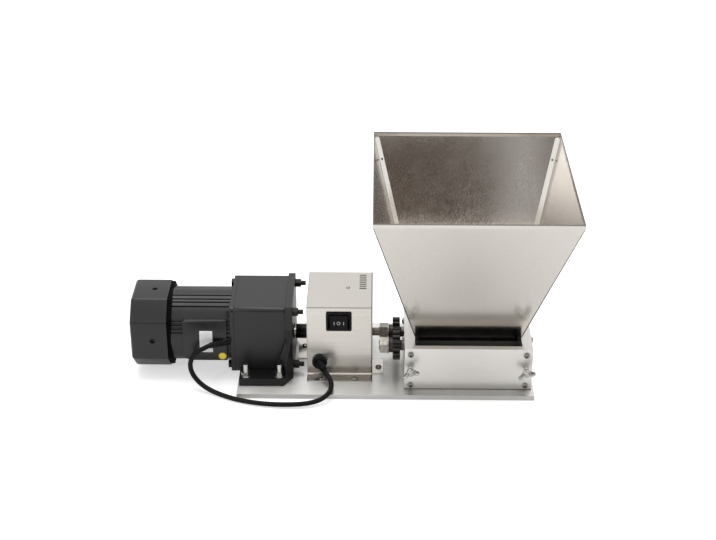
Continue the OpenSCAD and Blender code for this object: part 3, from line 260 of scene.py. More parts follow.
@dataclass(frozen=True)
class Finish:
    """A surface as it is made, drawn with procedural nodes.

    Attributes:
        name: The material's name.
        colour: Its colour, as sRGB hex.
        roughness: Mean roughness.
        layers: The patterns on it.
        metallic: 1 for bare metal, 0 for paint, plastic and rubber.
        ior: Index of refraction, used where it isn't metal.
        anisotropic: How far the gloss is drawn out across the grain.
        grain: The direction of the brush lines, where they stretch the gloss.
    """

    name: str
    colour: str
    roughness: float
    layers: tuple[Layer, ...]
    metallic: float = 0.0
    ior: float = 1.5
    anisotropic: float = 0.0
    grain: Axis | None = None

    def material(self) -> bpy.types.Material:
        """Makes the material, or finds it when it is made already.

        Returns:
            The material.
        """
        found = bpy.data.materials.get(self.name)
        if found is not None:
            return found
        material = bpy.data.materials.new(self.name)
        tree = empty_tree(material)
        plain = {
            "Base Color": srgb(self.colour),
            "Metallic": self.metallic,
            "Roughness": self.roughness,
            "IOR": self.ior,
            "Anisotropic": self.anisotropic,
        }
        shader = add_node(tree, "ShaderNodeBsdfPrincipled", values=plain)
        add_node(tree, "ShaderNodeOutputMaterial", links={"Surface": shader})
        made: dict[str, Socket] = {}
        if self.grain is not None:
            lines = [0.03, 0.02, 0.01]
            lines[self.grain.value] = 1.0
            normal = add_node(tree, "ShaderNodeNewGeometry").outputs["Normal"]
            cross = {"operation": "CROSS_PRODUCT"}
            made["Tangent"] = add_node(tree, "ShaderNodeVectorMath", cross, {1: lines}, {0: normal}).outputs[0]
        coords = add_node(tree, "ShaderNodeTexCoord").outputs["Object"]
        for layer in self.layers:
            self._add(tree, layer, layer.factor(tree, coords), made)
        for name, socket in made.items():
            tree.links.new(socket, shader.inputs[name])
        return material

    def _add(self, tree: Tree, layer: Layer, value: Socket, made: dict[str, Socket]) -> None:
        """Adds a layer to the colour, the roughness and the normal made so far.

        Args:
            tree: The material's node tree.
            layer: The layer.
            value: Its pattern, from 0 to 1.
            made: What is made so far, by the shader's input that it goes to.
        """
        if layer.amount:
            share = add_node(tree, MATH, {"operation": "MULTIPLY"}, {1: layer.amount}, {0: value})
            colours = {6: srgb(self.colour), 7: srgb(layer.tint)}
            links = {0: share} | ({6: made["Base Color"]} if "Base Color" in made else {})
            mix = add_node(tree, "ShaderNodeMix", {"data_type": "RGBA"}, colours, links)
            made["Base Color"] = mix.outputs[2]
        if layer.rough:
            before = made.get("Roughness")
            base = self.roughness if before is None else 0.0
            swing = {"To Min": base - layer.rough, "To Max": base + layer.rough}
            node = add_node(tree, "ShaderNodeMapRange", values=swing, links={"Value": value})
            if before is not None:
                node = add_node(tree, MATH, {"operation": "ADD"}, links={0: before, 1: node})
            made["Roughness"] = node.outputs[0]
        if layer.bump:
            links = {"Height": value} | ({"Normal": made["Normal"]} if "Normal" in made else {})
            height = {"Distance": layer.bump * MM, "Strength": 1.0}
            made["Normal"] = add_node(tree, "ShaderNodeBump", values=height, links=links).outputs[0]


def handling(rough: float = 0.035) -> Layer:
    """The faint cloudy marks that hands leave on bare metal, about 45 mm across."""
    return Layer(Pattern.CLOUD, 45, rough=rough, low=0.35, high=0.65)


def patches(size: float, tint: str, amount: float, rough: float = 0.0) -> Layer:
    """Cloudy patches of another colour, with their width in mm."""
    return Layer(Pattern.CLOUD, size, tint, amount, rough)


def pores(size: float, bump: float, rough: float = 0.0) -> Layer:
    """The fine relief of a surface, with its width and height in mm."""
    return Layer(Pattern.CLOUD, size, rough=rough, bump=bump)


def seam(width: float, axis: Axis, place: float, tint: str, amount: float) -> Layer:
    """A straight line across an axis, with its width and place in mm."""
    return Layer(Pattern.LINE, width, tint, amount, axis=axis, place=place)


def metal(name: str, colour: str, roughness: float, *layers: Layer, **more: Any) -> Finish:
    """The finish of a bare metal."""
    return Finish(name, colour, roughness, layers, metallic=1.0, **more)


# Rolled aluminium plate with a brushed top: pale, streaked along its length, and it blurs what stands on it.
# The real brush lines are about 0.2 mm apart, drawn at 1.4 mm so that they show.
PLATE_ALUMINIUM = metal(
    "brushed_aluminium_plate",
    "#cfcecb",
    0.42,
    Layer(Pattern.STREAK, 1.4, "#b0afab", 0.30, rough=0.05, length=90),
    handling(),
    anisotropic=0.92,
    grain=Axis.X,
)
# Machined aluminium covers and side plates: a fine satin grain along the cutter's path, a little warmer.
MILLED_ALUMINIUM = metal(
    "satin_milled_aluminium",
    "#e0deda",
    0.34,
    Layer(Pattern.STREAK, 1.2, "#d3d0cb", 0.25, rough=0.02, length=50),
    handling(0.02),
)
# The same metal on the front cover, with a painted shadow: a darker line along its foot, where it meets the base
# plate.
FOOT_SHADOW_ALUMINIUM = replace(
    MILLED_ALUMINIUM,
    name="milled_cover_aluminium_painted_shadow",
    layers=MILLED_ALUMINIUM.layers + (seam(1.6, Axis.Z, 6.7, "#4d4843", 0.7),),
)
# Mirror-rolled stainless sheet of the hopper: soft reflections that fade out, warm grey, almost no grain, and a
# dark line of painted shade along its rim.
HOPPER_STAINLESS = metal(
    "polished_stainless_sheet",
    "#d6d1cb",
    0.15,
    Layer(Pattern.STREAK, 1.6, "#b7b1a9", 0.16, rough=0.03, bump=0.002, axis=Axis.Z, length=120),
    seam(1.2, Axis.Z, 267.0, "#453e38", 0.75),
    handling(0.012),
)
# Cut and polished strip edges, brighter than the sheet: the lighter colour is a painted highlight for the light
# that the strips catch.
LIT_STRIP_STAINLESS = metal(
    "polished_strip_painted_highlight",
    "#e6e3dd",
    0.16,
    Layer(Pattern.STREAK, 0.8, "#c9c4bc", 0.2, rough=0.03, axis=Axis.Z, length=30),
    handling(),
)
# Satin stainless sheet of the box: warm beige grey that mirrors the flange close to it and blurs what is far.
BOX_STAINLESS = metal(
    "satin_stainless_sheet",
    "#d0ccc6",
    0.24,
    Layer(Pattern.STREAK, 1.3, "#bdb2a5", 0.18, rough=0.03, bump=0.002, length=80),
    handling(0.015),
)
# The same sheet as the box is made of, with painted dark lines about 1 mm wide: a painted reflection along its top
# bend and painted shade along its two cut ends.
LINE_SHADED_STAINLESS = replace(
    BOX_STAINLESS,
    name="box_sheet_painted_shade_lines",
    layers=BOX_STAINLESS.layers
    + (
        seam(1.6, Axis.Z, 100.6, "#665d56", 0.65),
        seam(1.5, Axis.X, -16.75, "#4a443f", 0.8),
        seam(1.0, Axis.X, -95.5, "#6b625b", 0.35),
    ),
)
# Zinc plated fasteners: bright, faintly blue and straw in patches about 3 mm across.
ZINC_PLATE = metal("zinc_plated_steel", "#b4b5b4", 0.22, patches(3, "#b9b09c", 0.35, 0.05))
# Stainless screw heads: darker than the sheet that they hold, a painted shade for the shadow round them, and
# polished by the tumbling drum.
SHADED_SCREW_STAINLESS = metal("tumbled_screw_painted_shade", "#8f8d88", 0.2, patches(1.6, "#615f5b", 0.4, 0.05))
# Weld run down the hopper's corners: heat brown, rippled every 1.5 mm by the torch.
WELD_RUN = metal(
    "heat_tinted_weld",
    "#443c35",
    0.42,
    Layer(Pattern.TURNS, 1.5, "#2b2521", 0.5, rough=0.06, bump=0.05, axis=Axis.Z),
    patches(9, "#574d44", 0.5),
)
# Black oxide on cut steel: nearly black, oily, with paler rubbed patches about 5 mm across.
BLACK_OXIDE = metal(
    "black_oxide_steel",
    "#262523",
    0.4,
    replace(patches(5, "#4a4844", 0.35, 0.08), low=0.45, high=0.8),
    pores(0.7, 0.01),
)
# A lighter copy of the oxide for the gears, grey all over: a painted highlight for the light that the tips of the
# teeth catch.
LIT_GEAR_OXIDE = metal("gear_steel_painted_highlight", "#454440", 0.42, patches(6, "#2e2d2a", 0.5, 0.06), pores(0.8, 0.01))
# Turned nut steel: a grey that keeps its corners visible, with fine rings from the tool.
TURNED_STEEL = metal(
    "turned_nut_steel",
    "#aaa69f",
    0.22,
    Layer(Pattern.TURNS, 1.6, "#5f5b56", 0.4, rough=0.06, bump=0.01),
    patches(4, "#6d6963", 0.4),
)
# Ground steel shafts and laminations: plain grey with turning lines 0.8 mm apart.
GROUND_STEEL = metal(
    "ground_steel",
    "#a9a8a6",
    0.28,
    Layer(Pattern.TURNS, 0.8, "#8b8986", 0.3, rough=0.04, bump=0.004),
    handling(),
)
# Satin powder paint on the motor castings: charcoal, with an orange peel about 1.2 mm across.
CHARCOAL_PAINT = Finish(
    "charcoal_powder_paint",
    "#121214",
    0.36,
    (pores(1.2, 0.012, 0.03), patches(26, "#19191c", 0.4, 0.05)),
    ior=1.47,
)
# Black semi-gloss paint of the bracket.
BLACK_PAINT = Finish(
    "black_bracket_paint", "#0e0e10", 0.4, (pores(1, 0.012, 0.04), patches(22, "#19191b", 0.4)), ior=1.45
)
# Sintered bronze bushes: brown gold and matt, with pores about 0.6 mm across.
BEARING_BRONZE = metal(
    "sintered_bronze", "#9c7440", 0.38, replace(patches(0.6, "#6b4d28", 0.4, 0.06), bump=0.01), handling()
)
# Enamelled copper winding: red brown gloss in wires 0.9 mm thick.
COPPER_WIRE = Finish(
    "enamelled_copper_wire", "#a3552c", 0.25, (Layer(Pattern.TURNS, 0.9, "#5f2b12", 0.6, bump=0.2),), metallic=0.9
)
# Polished moulded nylon of the switch: black and glossy.
SWITCH_NYLON = Finish(
    "glossy_switch_nylon", "#070708", 0.24, (pores(0.5, 0.004), patches(9, "#0b0b0d", 0.5, 0.05)), ior=1.24
)
# Spark-textured moulded plastic of the glands, inlet and fan: black and matt.
MOULDED_BLACK = Finish(
    "moulded_black_plastic", "#0a0a0b", 0.46, (pores(0.6, 0.015, 0.05), patches(12, "#101012", 0.5)), ior=1.28
)
# Dull black of the ring behind the fan cover: it gives hardly any light back.
DULL_BLACK_RING = Finish("dull_black_ring", "#060606", 0.7, (patches(5, "#0b0b0b", 0.5),), ior=1.12)
# White moulded plastic inside the box: a little ivory.
MOULDED_WHITE = Finish(
    "moulded_white_plastic", "#e4e1d8", 0.4, (pores(0.6, 0.01, 0.04), patches(14, "#d6d1c4", 0.4))
)
# Rubber sheath of the motor cable: black, waxy, and it takes a soft shine on its crown.
CABLE_RUBBER = Finish(
    "black_cable_rubber", "#070707", 0.4, (pores(0.8, 0.012, 0.06), patches(18, "#0d0d0c", 0.4)), ior=1.25
)
# Red polyurethane of the coupling spider: soft and even.
RED_URETHANE = Finish("red_polyurethane", "#a3201c", 0.42, (pores(0.7, 0.01, 0.05), patches(8, "#8a1714", 0.5)))
# Polyester film of the bare plate: white and satin, with faint grey patches.
PLATE_FILM = Finish("white_polyester_film", "#efeff0", 0.33, (patches(6, "#dcdcda", 0.5, 0.06), pores(2.2, 0.01)))
# Yellow vinyl of the plain disc.
YELLOW_VINYL = Finish("yellow_vinyl", "#efdb34", 0.36, (patches(2.5, "#dcc523", 0.45, 0.05), pores(0.8, 0.006)))
# Darker edge of the disc, where its adhesive has caught dust.
DUSTY_VINYL = Finish("dusty_vinyl_edge", "#7a7022", 0.5, (patches(1.5, "#57501c", 0.6, 0.05), pores(0.7, 0.008)))
# Pale grey pad print on the rocker.
PAD_PRINT = Finish("white_pad_print", "#b9bcc0", 0.5, (replace(patches(0.5, "#8f9296", 0.4), bump=0.003),))


def knurled(name: str, centre_y: float) -> Finish:
    """Case-hardened roller steel with a diamond knurl 1.6 mm across, worn on its points, and near-black as painted
    shade.

    Args:
        name: The material's name.
        centre_y: Place of the roller's axis, in mm.

    Returns:
        The finish.
    """
    # The near-black colour is painted shade for the shadowed slot that the rollers turn in.
    return metal(
        name,
        "#2b2926",
        0.42,
        Layer(Pattern.KNURL, 1.6, "#12110f", 0.7, bump=0.4, centre=(centre_y, 44.0)),
        Layer(Pattern.ENDS, 1.0, "#8f8b86", 1.0),
        Layer(Pattern.CLOUD, 6.0, rough=0.06),
    )


# The finish that each of the record's material slots gets.
SLOT_FINISH: dict[str, Finish] = {
    "brushed_aluminium": PLATE_ALUMINIUM,
    "milled_aluminium": MILLED_ALUMINIUM,
    "polished_stainless": HOPPER_STAINLESS,
    "satin_stainless": BOX_STAINLESS,
    "zinc_steel": ZINC_PLATE,
    "black_steel": BLACK_OXIDE,
    "bare_steel": GROUND_STEEL,
    "charcoal_paint": CHARCOAL_PAINT,
    "black_paint": BLACK_PAINT,
    "bearing_bronze": BEARING_BRONZE,
    "copper_wire": COPPER_WIRE,
    "black_gloss_plastic": SWITCH_NYLON,
    "black_plastic": MOULDED_BLACK,
    "white_plastic": MOULDED_WHITE,
    "cable_rubber": CABLE_RUBBER,
    "red_rubber": RED_URETHANE,
}


def turn_to(direction: Vector) -> Matrix:
    """Gives the turn that takes +Z to a direction."""
    return Vector(UP).rotation_difference(direction.normalized()).to_matrix().to_4x4()


def seat(at: Sequence[float], out: Sequence[float]) -> Matrix:
    """Gives the move that takes the origin to a place in mm and +Z to a direction."""
    return Matrix.Translation(mm(*at)) @ turn_to(Vector(out))


def verts_in(geom: Iterable[Any]) -> list[bmesh.types.BMVert]:
    """Picks the vertices out of an operator's result."""
    return [g for g in geom if isinstance(g, bmesh.types.BMVert)]


def linked(name: str, data: Any) -> bpy.types.Object:
    """Makes an object of a mesh, curve, camera or light and links it to the scene."""
    obj = bpy.data.objects.new(name, data)
    bpy.context.scene.collection.objects.link(obj)
    return obj


def as_mesh(name: str, bm: BMesh) -> bpy.types.Mesh:
    """Turns a bmesh, which is freed, into a mesh."""
    mesh = bpy.data.meshes.new(name)
    bm.to_mesh(mesh)
    bm.free()
    return mesh


def spun(bm: BMesh, profile: Profile, place: Matrix, steps: int = 40) -> None:
    """Spins a profile into a round form.

    Args:
        bm: The mesh that takes the form.
        profile: Radius and height of each point, in mm, from one end to the other.
        place: Takes the form from the Z axis to its place.
        steps: Faces around it.
    """
    verts = [bm.verts.new(place @ mm(r, 0, h)) for r, h in profile]
    edges = [bm.edges.new(pair) for pair in zip(verts, verts[1:])]
    bmesh.ops.spin(
        bm,
        geom=verts + edges,
        cent=place @ Vector((0, 0, 0)),
        axis=place.to_3x3() @ Vector(UP),
        angle=2 * math.pi,
        steps=steps,
        use_merge=True,
    )


def tidy(bm: BMesh) -> None:
    """Merges doubles, closes the ends and turns the faces outwards."""
    bmesh.ops.remove_doubles(bm, verts=bm.verts, dist=1e-6)
    rims = [e for e in bm.edges if e.is_boundary]
    if rims:
        bmesh.ops.holes_fill(bm, edges=rims, sides=0)
    bmesh.ops.recalc_face_normals(bm, faces=bm.faces)


def turned(profile: Profile, place: Matrix, steps: int = 40) -> BMesh:
    """Makes a mesh of one closed round form.

    Args:
        profile: Radius and height of each point, in mm, from one end to the other.
        place: Takes the form from the Z axis to its place.
        steps: Faces around it.

    Returns:
        The mesh.
    """
    bm = bmesh.new()
    spun(bm, profile, place, steps)
    tidy(bm)
    return bm


def block(bm: BMesh, low: Sequence[float], high: Sequence[float]) -> list[bmesh.types.BMVert]:
    """Adds a block.

    Args:
        bm: The mesh that takes it.
        low: Its lowest corner, in mm.
        high: Its highest corner.

    Returns:
        Its vertices.
    """
    size = [b - a for a, b in zip(low, high)]
    middle = [(a + b) / 2 for a, b in zip(low, high)]
    place = Matrix.Translation(mm(*middle)) @ Matrix.Diagonal((*mm(*size), 1.0))
    return bmesh.ops.create_cube(bm, size=1.0, matrix=place)["verts"]


def edges_where(bm: BMesh, test: Callable[[Vector, Vector], bool]) -> list[bmesh.types.BMEdge]:
    """Finds the edges that pass a test.

    Args:
        bm: The mesh.
        test: Takes an edge's middle, in mm, and its direction.

    Returns:
        The edges.
    """
    found = []
    for e in bm.edges:
        a, b = (v.co / MM for v in e.verts)
        if test((a + b) / 2, (b - a).normalized()):
            found.append(e)
    return found


def bevelled(bm: BMesh, edges: Sequence[bmesh.types.BMEdge], width: float, segments: int) -> None:
    """Bevels some edges.

    Args:
        bm: The mesh.
        edges: The edges.
        width: Width of the bevel, in mm.
        segments: Steps across it.
    """
    bmesh.ops.bevel(
        bm,
        geom=edges,
        offset=width * MM,
        offset_type="OFFSET",
        affect="EDGES",
        segments=segments,
        profile=0.5,
        material=-1,
        clamp_overlap=True,
    )


def rounded(bm: BMesh, width: float, segments: int = 2, least: float = 35.0) -> None:
    """Bevels the edges of a mesh that are sharper than an angle.

    Args:
        bm: The mesh.
        width: Width of the bevel, in mm.
        segments: Steps across it.
        least: The angle in degrees.
    """
    limit = math.radians(least)
    sharp = [e for e in bm.edges if e.is_manifold and e.calc_face_angle(0.0) > limit]
    bevelled(bm, sharp, width, segments)


def carved(bm: BMesh, tool: BMesh) -> BMesh:
    """Cuts one mesh out of another.

    Args:
        bm: The mesh that is cut, which is freed.
        tool: The mesh that is taken away, which is freed.

    Returns:
        The cut mesh.
    """
    body, cutter = (linked(name, as_mesh(name, b)) for name, b in (("carve_body", bm), ("carve_tool", tool)))
    cut = body.modifiers.new("cut", "BOOLEAN")
    cut.operation = "DIFFERENCE"
    cut.solver = "EXACT"
    cut.use_self = True
    cut.object = cutter
    bpy.context.view_layer.update()
    result = bmesh.new()
    result.from_object(body, bpy.context.evaluated_depsgraph_get())
    if not result.faces:
        raise RuntimeError("the cut left nothing")
    for obj in (body, cutter):
        mesh = obj.data
        bpy.data.objects.remove(obj)
        bpy.data.meshes.remove(mesh)
    return result


def joined(bm: BMesh, part: BMesh, places: Iterable[Matrix] = (Matrix.Identity(4),)) -> None:
    """Adds a mesh to another, at one place or several.

    Args:
        bm: The mesh that takes the copies.
        part: The mesh that is copied, which is freed.
        places: Where each copy goes.
    """
    mesh = as_mesh("joined_part", part)
    for place in places:
        first = len(bm.verts)
        bm.from_mesh(mesh)
        bm.verts.ensure_lookup_table()
        bmesh.ops.transform(bm, matrix=place, verts=bm.verts[first:])
    bpy.data.meshes.remove(mesh)


def piece(
    name: str,
    bm: BMesh,
    finish: Finish,
    stands_for: Sequence[str] = (),
    body: str = "frame",
) -> bpy.types.Object:
    """Makes a finished piece from a mesh and lets it ride on a body.

    Args:
        name: The piece's name.
        bm: Its mesh in metres, which is freed.
        finish: Its finish.
        stands_for: Nodes that it takes the place of.
        body: The body that it moves with.

    Returns:
        The new object.
    """
    mesh = as_mesh(name, bm)
    mesh.materials.append(finish.material())
    mesh.shade_smooth()
    mesh.set_sharp_from_angle(angle=math.radians(40))
    obj = linked(name, mesh)
    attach(obj, body)
    if stands_for:
        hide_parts(*stands_for)
    LOG.info("piece %s: %d faces", name, len(mesh.polygons))
    return obj


@dataclass
class Studio:
    """The white floor, the soft light and the camera.

    Attributes:
        camera_at: Place of the camera, in mm.
        pitch: How far it looks down, in degrees.
        yaw: How far it turns to the left, in degrees.
        lens: Focal length for a 36 mm wide frame, in mm.
        world_light: Strength of the light from all round.
        floor_z: Height of the floor, in mm.
        floor_glow: Strength of the floor's own light, seen in gloss and seen by the camera.
        aim: The place that the lamps look at, in mm.
        lamps: Name, place in mm, width and height in metres and power in watts of the soft boxes.
        flag_colour: Colour of the cards behind the camera, which give the metal its dark reflections.
        flags: Name, middle and size of the cards, in metres.
    """

    camera_at: Point = (-11.78, -1600.71, 983.04)
    pitch: float = 28.032
    yaw: float = 0.798
    lens: float = 74.736
    world_light: float = 0.62
    floor_z: float = -0.3
    floor_glow: tuple[float, float] = (0.24, 0.52)
    aim: Point = (-20, -20, 90)
    lamps: tuple[tuple[str, Point, tuple[float, float], float], ...] = (
        ("top_softbox", (0, 350, 1800), (2.0, 1.4), 24.0),
        ("front_softbox", (-550, -1700, 1700), (0.6, 0.44), 1.1),
        ("side_spot", (-1400, -1300, 900), (0.12, 0.12), 3.0),
    )
    flag_colour: str = "#57473a"
    flags: tuple[tuple[str, Point, Point], ...] = (
        ("front_left_flag", (-0.415, -2.1, 1.11), (1.07, 0.02, 1.22)),
        ("front_flag", (0.25, -2.1, 1.46), (0.26, 0.02, 0.52)),
        ("front_right_flag", (1.24, -2.1, 1.75), (1.54, 0.02, 1.1)),
    )

    def build(self) -> None:
        """Makes the camera, the floor, the world, the cards and the lamps."""
        scene = bpy.context.scene
        scene.view_settings.view_transform = "Standard"
        self._camera(scene)
        self._floor()
        self._world(scene)
        self._flags()
        for name, at, size, power in self.lamps:
            self._lamp(name, at, size, power)

    def _camera(self, scene: bpy.types.Scene) -> None:
        """Puts the camera at the photograph's viewpoint.

        Args:
            scene: The scene that it looks at.
        """
        data = bpy.data.cameras.new("front_camera")
        data.lens = self.lens
        data.sensor_width = 36.0
        data.clip_end = 50.0
        camera = linked("front_camera", data)
        camera.location = mm(*self.camera_at)
        camera.rotation_euler = (math.radians(90 - self.pitch), 0.0, math.radians(self.yaw))
        scene.camera = camera

    def _seen(self, tree: Tree) -> Socket:
        """Tells rays that come from the camera, or from gloss or glass.

        Args:
            tree: The node tree of the floor or the world.

        Returns:
            The socket that gives 1 for them.
        """
        path = add_node(tree, "ShaderNodeLightPath").outputs
        shown = path["Is Camera Ray"]
        for name in ("Is Glossy Ray", "Is Transmission Ray"):
            shown = add_node(tree, MATH, {"operation": "MAXIMUM"}, links={0: shown, 1: path[name]}).outputs[0]
        return shown

    def _floor(self) -> None:
        """Lays a pale floor that keeps the shadow and turns white in the open."""
        bm = bmesh.new()
        bmesh.ops.create_grid(bm, x_segments=4, y_segments=4, size=4.0)
        bmesh.ops.translate(bm, verts=bm.verts, vec=mm(0, 0, self.floor_z))
        mesh = as_mesh("studio_floor", bm)
        material = bpy.data.materials.new("matt_white_floor")
        tree = empty_tree(material)
        paper = add_node(tree, "ShaderNodeBsdfDiffuse", values={"Color": srgb("#f2f2f2")})
        direct = add_node(tree, "ShaderNodeLightPath").outputs["Is Camera Ray"]
        strengths = dict(zip(("To Min", "To Max"), self.floor_glow))
        glow = add_node(tree, "ShaderNodeMapRange", values=strengths, links={"Value": direct})
        lift = add_node(tree, "ShaderNodeEmission", links={"Strength": glow})
        both = add_node(tree, "ShaderNodeAddShader", links={0: paper, 1: lift})
        shown = add_node(tree, "ShaderNodeMixShader", links={0: self._seen(tree), 1: paper, 2: both})
        add_node(tree, "ShaderNodeOutputMaterial", links={"Surface": shown})
        mesh.materials.append(material)
        floor = linked("studio_floor", mesh)

    def _flags(self) -> None:
        """Hangs the dark cards that shiny metal needs to look like metal."""
        material = bpy.data.materials.new("matt_flag_cloth")
        tree = empty_tree(material)
        cloth = add_node(tree, "ShaderNodeBsdfDiffuse", values={"Color": srgb(self.flag_colour)})
        add_node(tree, "ShaderNodeOutputMaterial", links={"Surface": cloth})
        for name, middle, size in self.flags:
            bm = bmesh.new()
            bmesh.ops.create_cube(bm, size=1.0)
            bmesh.ops.scale(bm, verts=bm.verts, vec=size)
            bmesh.ops.translate(bm, verts=bm.verts, vec=middle)
            mesh = as_mesh(name, bm)
            mesh.materials.append(material)
            card = linked(name, mesh)
            card.visible_camera = False

    def _world(self, scene: bpy.types.Scene) -> None:
        """Lights from all round and shows plain white behind.

        Args:
            scene: The scene that is lit.
        """
        world = bpy.data.worlds.new("white_studio")
        tree = empty_tree(world)
        light, white = (
            add_node(tree, "ShaderNodeBackground", values={"Color": srgb("#ffffff"), "Strength": strength})
            for strength in (self.world_light, 1.0)
        )
        shown = add_node(tree, "ShaderNodeMixShader", links={0: self._seen(tree), 1: light, 2: white})
        add_node(tree, "ShaderNodeOutputWorld", links={"Surface": shown})
        scene.world = world

    def _lamp(self, name: str, at: Point, size: tuple[float, float], power: float) -> None:
        """Hangs a soft box that looks at the middle of the mill.

        Args:
            name: Its name.
            at: Its place, in mm.
            size: Its width and height, in metres.
            power: Its power, in watts.
        """
        data = bpy.data.lights.new(name, "AREA")
        data.shape = "RECTANGLE"
        data.size, data.size_y = size
        data.energy = power
        lamp = linked(name, data)
        lamp.location = mm(*at)
        lamp.rotation_euler = (mm(*self.aim) - mm(*at)).to_track_quat("-Z", "Y").to_euler()


@dataclass
class MotorCable:
    """The cable from the motor's terminal pad to the box, and the boots at its two ends.

    Attributes:
        diameter: Outside diameter, in mm.
        length: Length along its middle, in mm; not used.
        route: The points that it runs through, in mm.
        boots: The two boots, once they are made.
    """

    diameter: float = 6.0
    length: float = 273.4
    route: tuple[Point, ...] = (
        *((-212, -57, 56), (-214.6, -58.56, 56), (-218.9, -60.2, 54.4), (-224.8, -61.6, 51.6)),
        *((-231.2, -62.5, 46.5), (-235.7, -63.4, 38.9), (-236.8, -64.4, 30.1), (-234.5, -65.8, 21.4)),
        *((-229.2, -68.3, 14.1), (-222, -72, 8.8), (-213.8, -76.3, 5.5), (-205, -81.1, 3.9)),
        *((-196.1, -86, 3.3), (-187, -90.8, 3.2), (-177.8, -94.9, 3.2), (-168.4, -98.2, 3.2)),
        *((-158.8, -100.9, 3.3), (-149, -103.1, 3.4), (-139.2, -104.8, 3.6), (-129.2, -105.9, 3.9)),
        *((-119.1, -106.5, 4.2), (-109, -106.5, 4.5), (-99, -105.7, 4.8), (-89.4, -103.7, 5.3)),
        *((-80.6, -100.2, 6.2), (-73.3, -95.1, 7.8), (-68.1, -88.6, 10), (-65.6, -81.2, 12.6)),
        *((-65.9, -73.9, 15.6), (-68.1, -67.8, 18.3), (-70.9, -63.1, 20.2), (-73.2, -59.6, 21.35)),
        (-74.5, -57, 22),
    )
    boots: list[bpy.types.Object] = field(default_factory=list)

    def build(self) -> None:
        """Makes the boots and the cable."""
        self._boots()
        self._cable()

    def _cable(self) -> None:
        """Draws the cable as one smooth curve through its route."""
        curve = bpy.data.curves.new("motor_cable_sheath", "CURVE")
        curve.dimensions = "3D"
        curve.bevel_depth = self.diameter / 2 * MM
        curve.bevel_resolution = 6
        curve.resolution_u = 8
        spline = curve.splines.new("BEZIER")
        spline.bezier_points.add(len(self.route) - 1)
        for point, at in zip(spline.bezier_points, self.route):
            point.co = mm(*at)
            point.handle_left_type = point.handle_right_type = "AUTO"
        curve.materials.append(CABLE_RUBBER.material())
        cable = linked("motor_cable_sheath", curve)
        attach(cable, "frame")
        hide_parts("motor_cable")
        LOG.info("piece %s: %d points", cable.name, len(self.route))

    def _boots(self) -> None:
        """Makes the ribbed rubber boots that the cable leaves and enters by."""
        way = Vector((-15, -9, 0))
        bm = turned(self._ribs(-7.0, way.length, 5.3, 3.75), seat((-197, -48, 56), way))
        motor_boot = piece("motor_gland_boot", bm, SWITCH_NYLON, ["motor_cable_gland"])
        bm = bmesh.new()
        neck = [(0, -5.4), (7.4, -5.4), (7.4, -1.6), (6, -1.6), (6, 0)]
        nut = [(8.9, 0), (9.25, 0.5), (9.25, 3.6), (8.3, 4.8), (6.4, 5.0), (5.6, 4.4), (0, 4.4)]
        spun(bm, neck + nut, seat((-80.5, -41, 25), FRONT), 48)
        way = Vector((6, -12, -3))
        spun(bm, self._ribs(-1.0, way.length, 5.6, 4.2), seat((-80.5, -45, 25), way))
        tidy(bm)
        box_boot = piece("box_gland_boot", bm, MOULDED_BLACK, ["box_cable_gland"])
        self.boots += [motor_boot, box_boot]

    def _ribs(self, start: float, end: float, wide: float, narrow: float) -> list[tuple[float, float]]:
        """Gives the profile of a tapered boot with ribs and a mouth round the cable.

        Args:
            start: Height where it starts, in mm.
            end: Height of its mouth.
            wide: Radius at the start.
            narrow: Radius at the mouth.

        Returns:
            Radius and height of each point.
        """
        rings = 5
        foot = max(start, 0.0)
        pitch = (end - foot) / rings
        taper = (narrow - wide) / (end - start)
        profile = [(0.0, start), (wide, start)]
        for i in range(rings):
            for share, sink in ((0.08, 0.0), (0.5, 0.0), (0.62, 0.45), (0.88, 0.45)):
                height = foot + i * pitch + share * pitch
                profile.append((wide + taper * (height - start) - sink, height))
        bore = self.diameter / 2 + 0.1
        mouth = [(narrow, end - 0.25), (narrow - 0.3, end), (bore, end), (bore, end - 2.5), (0.0, end - 2.5)]
        return profile + mouth


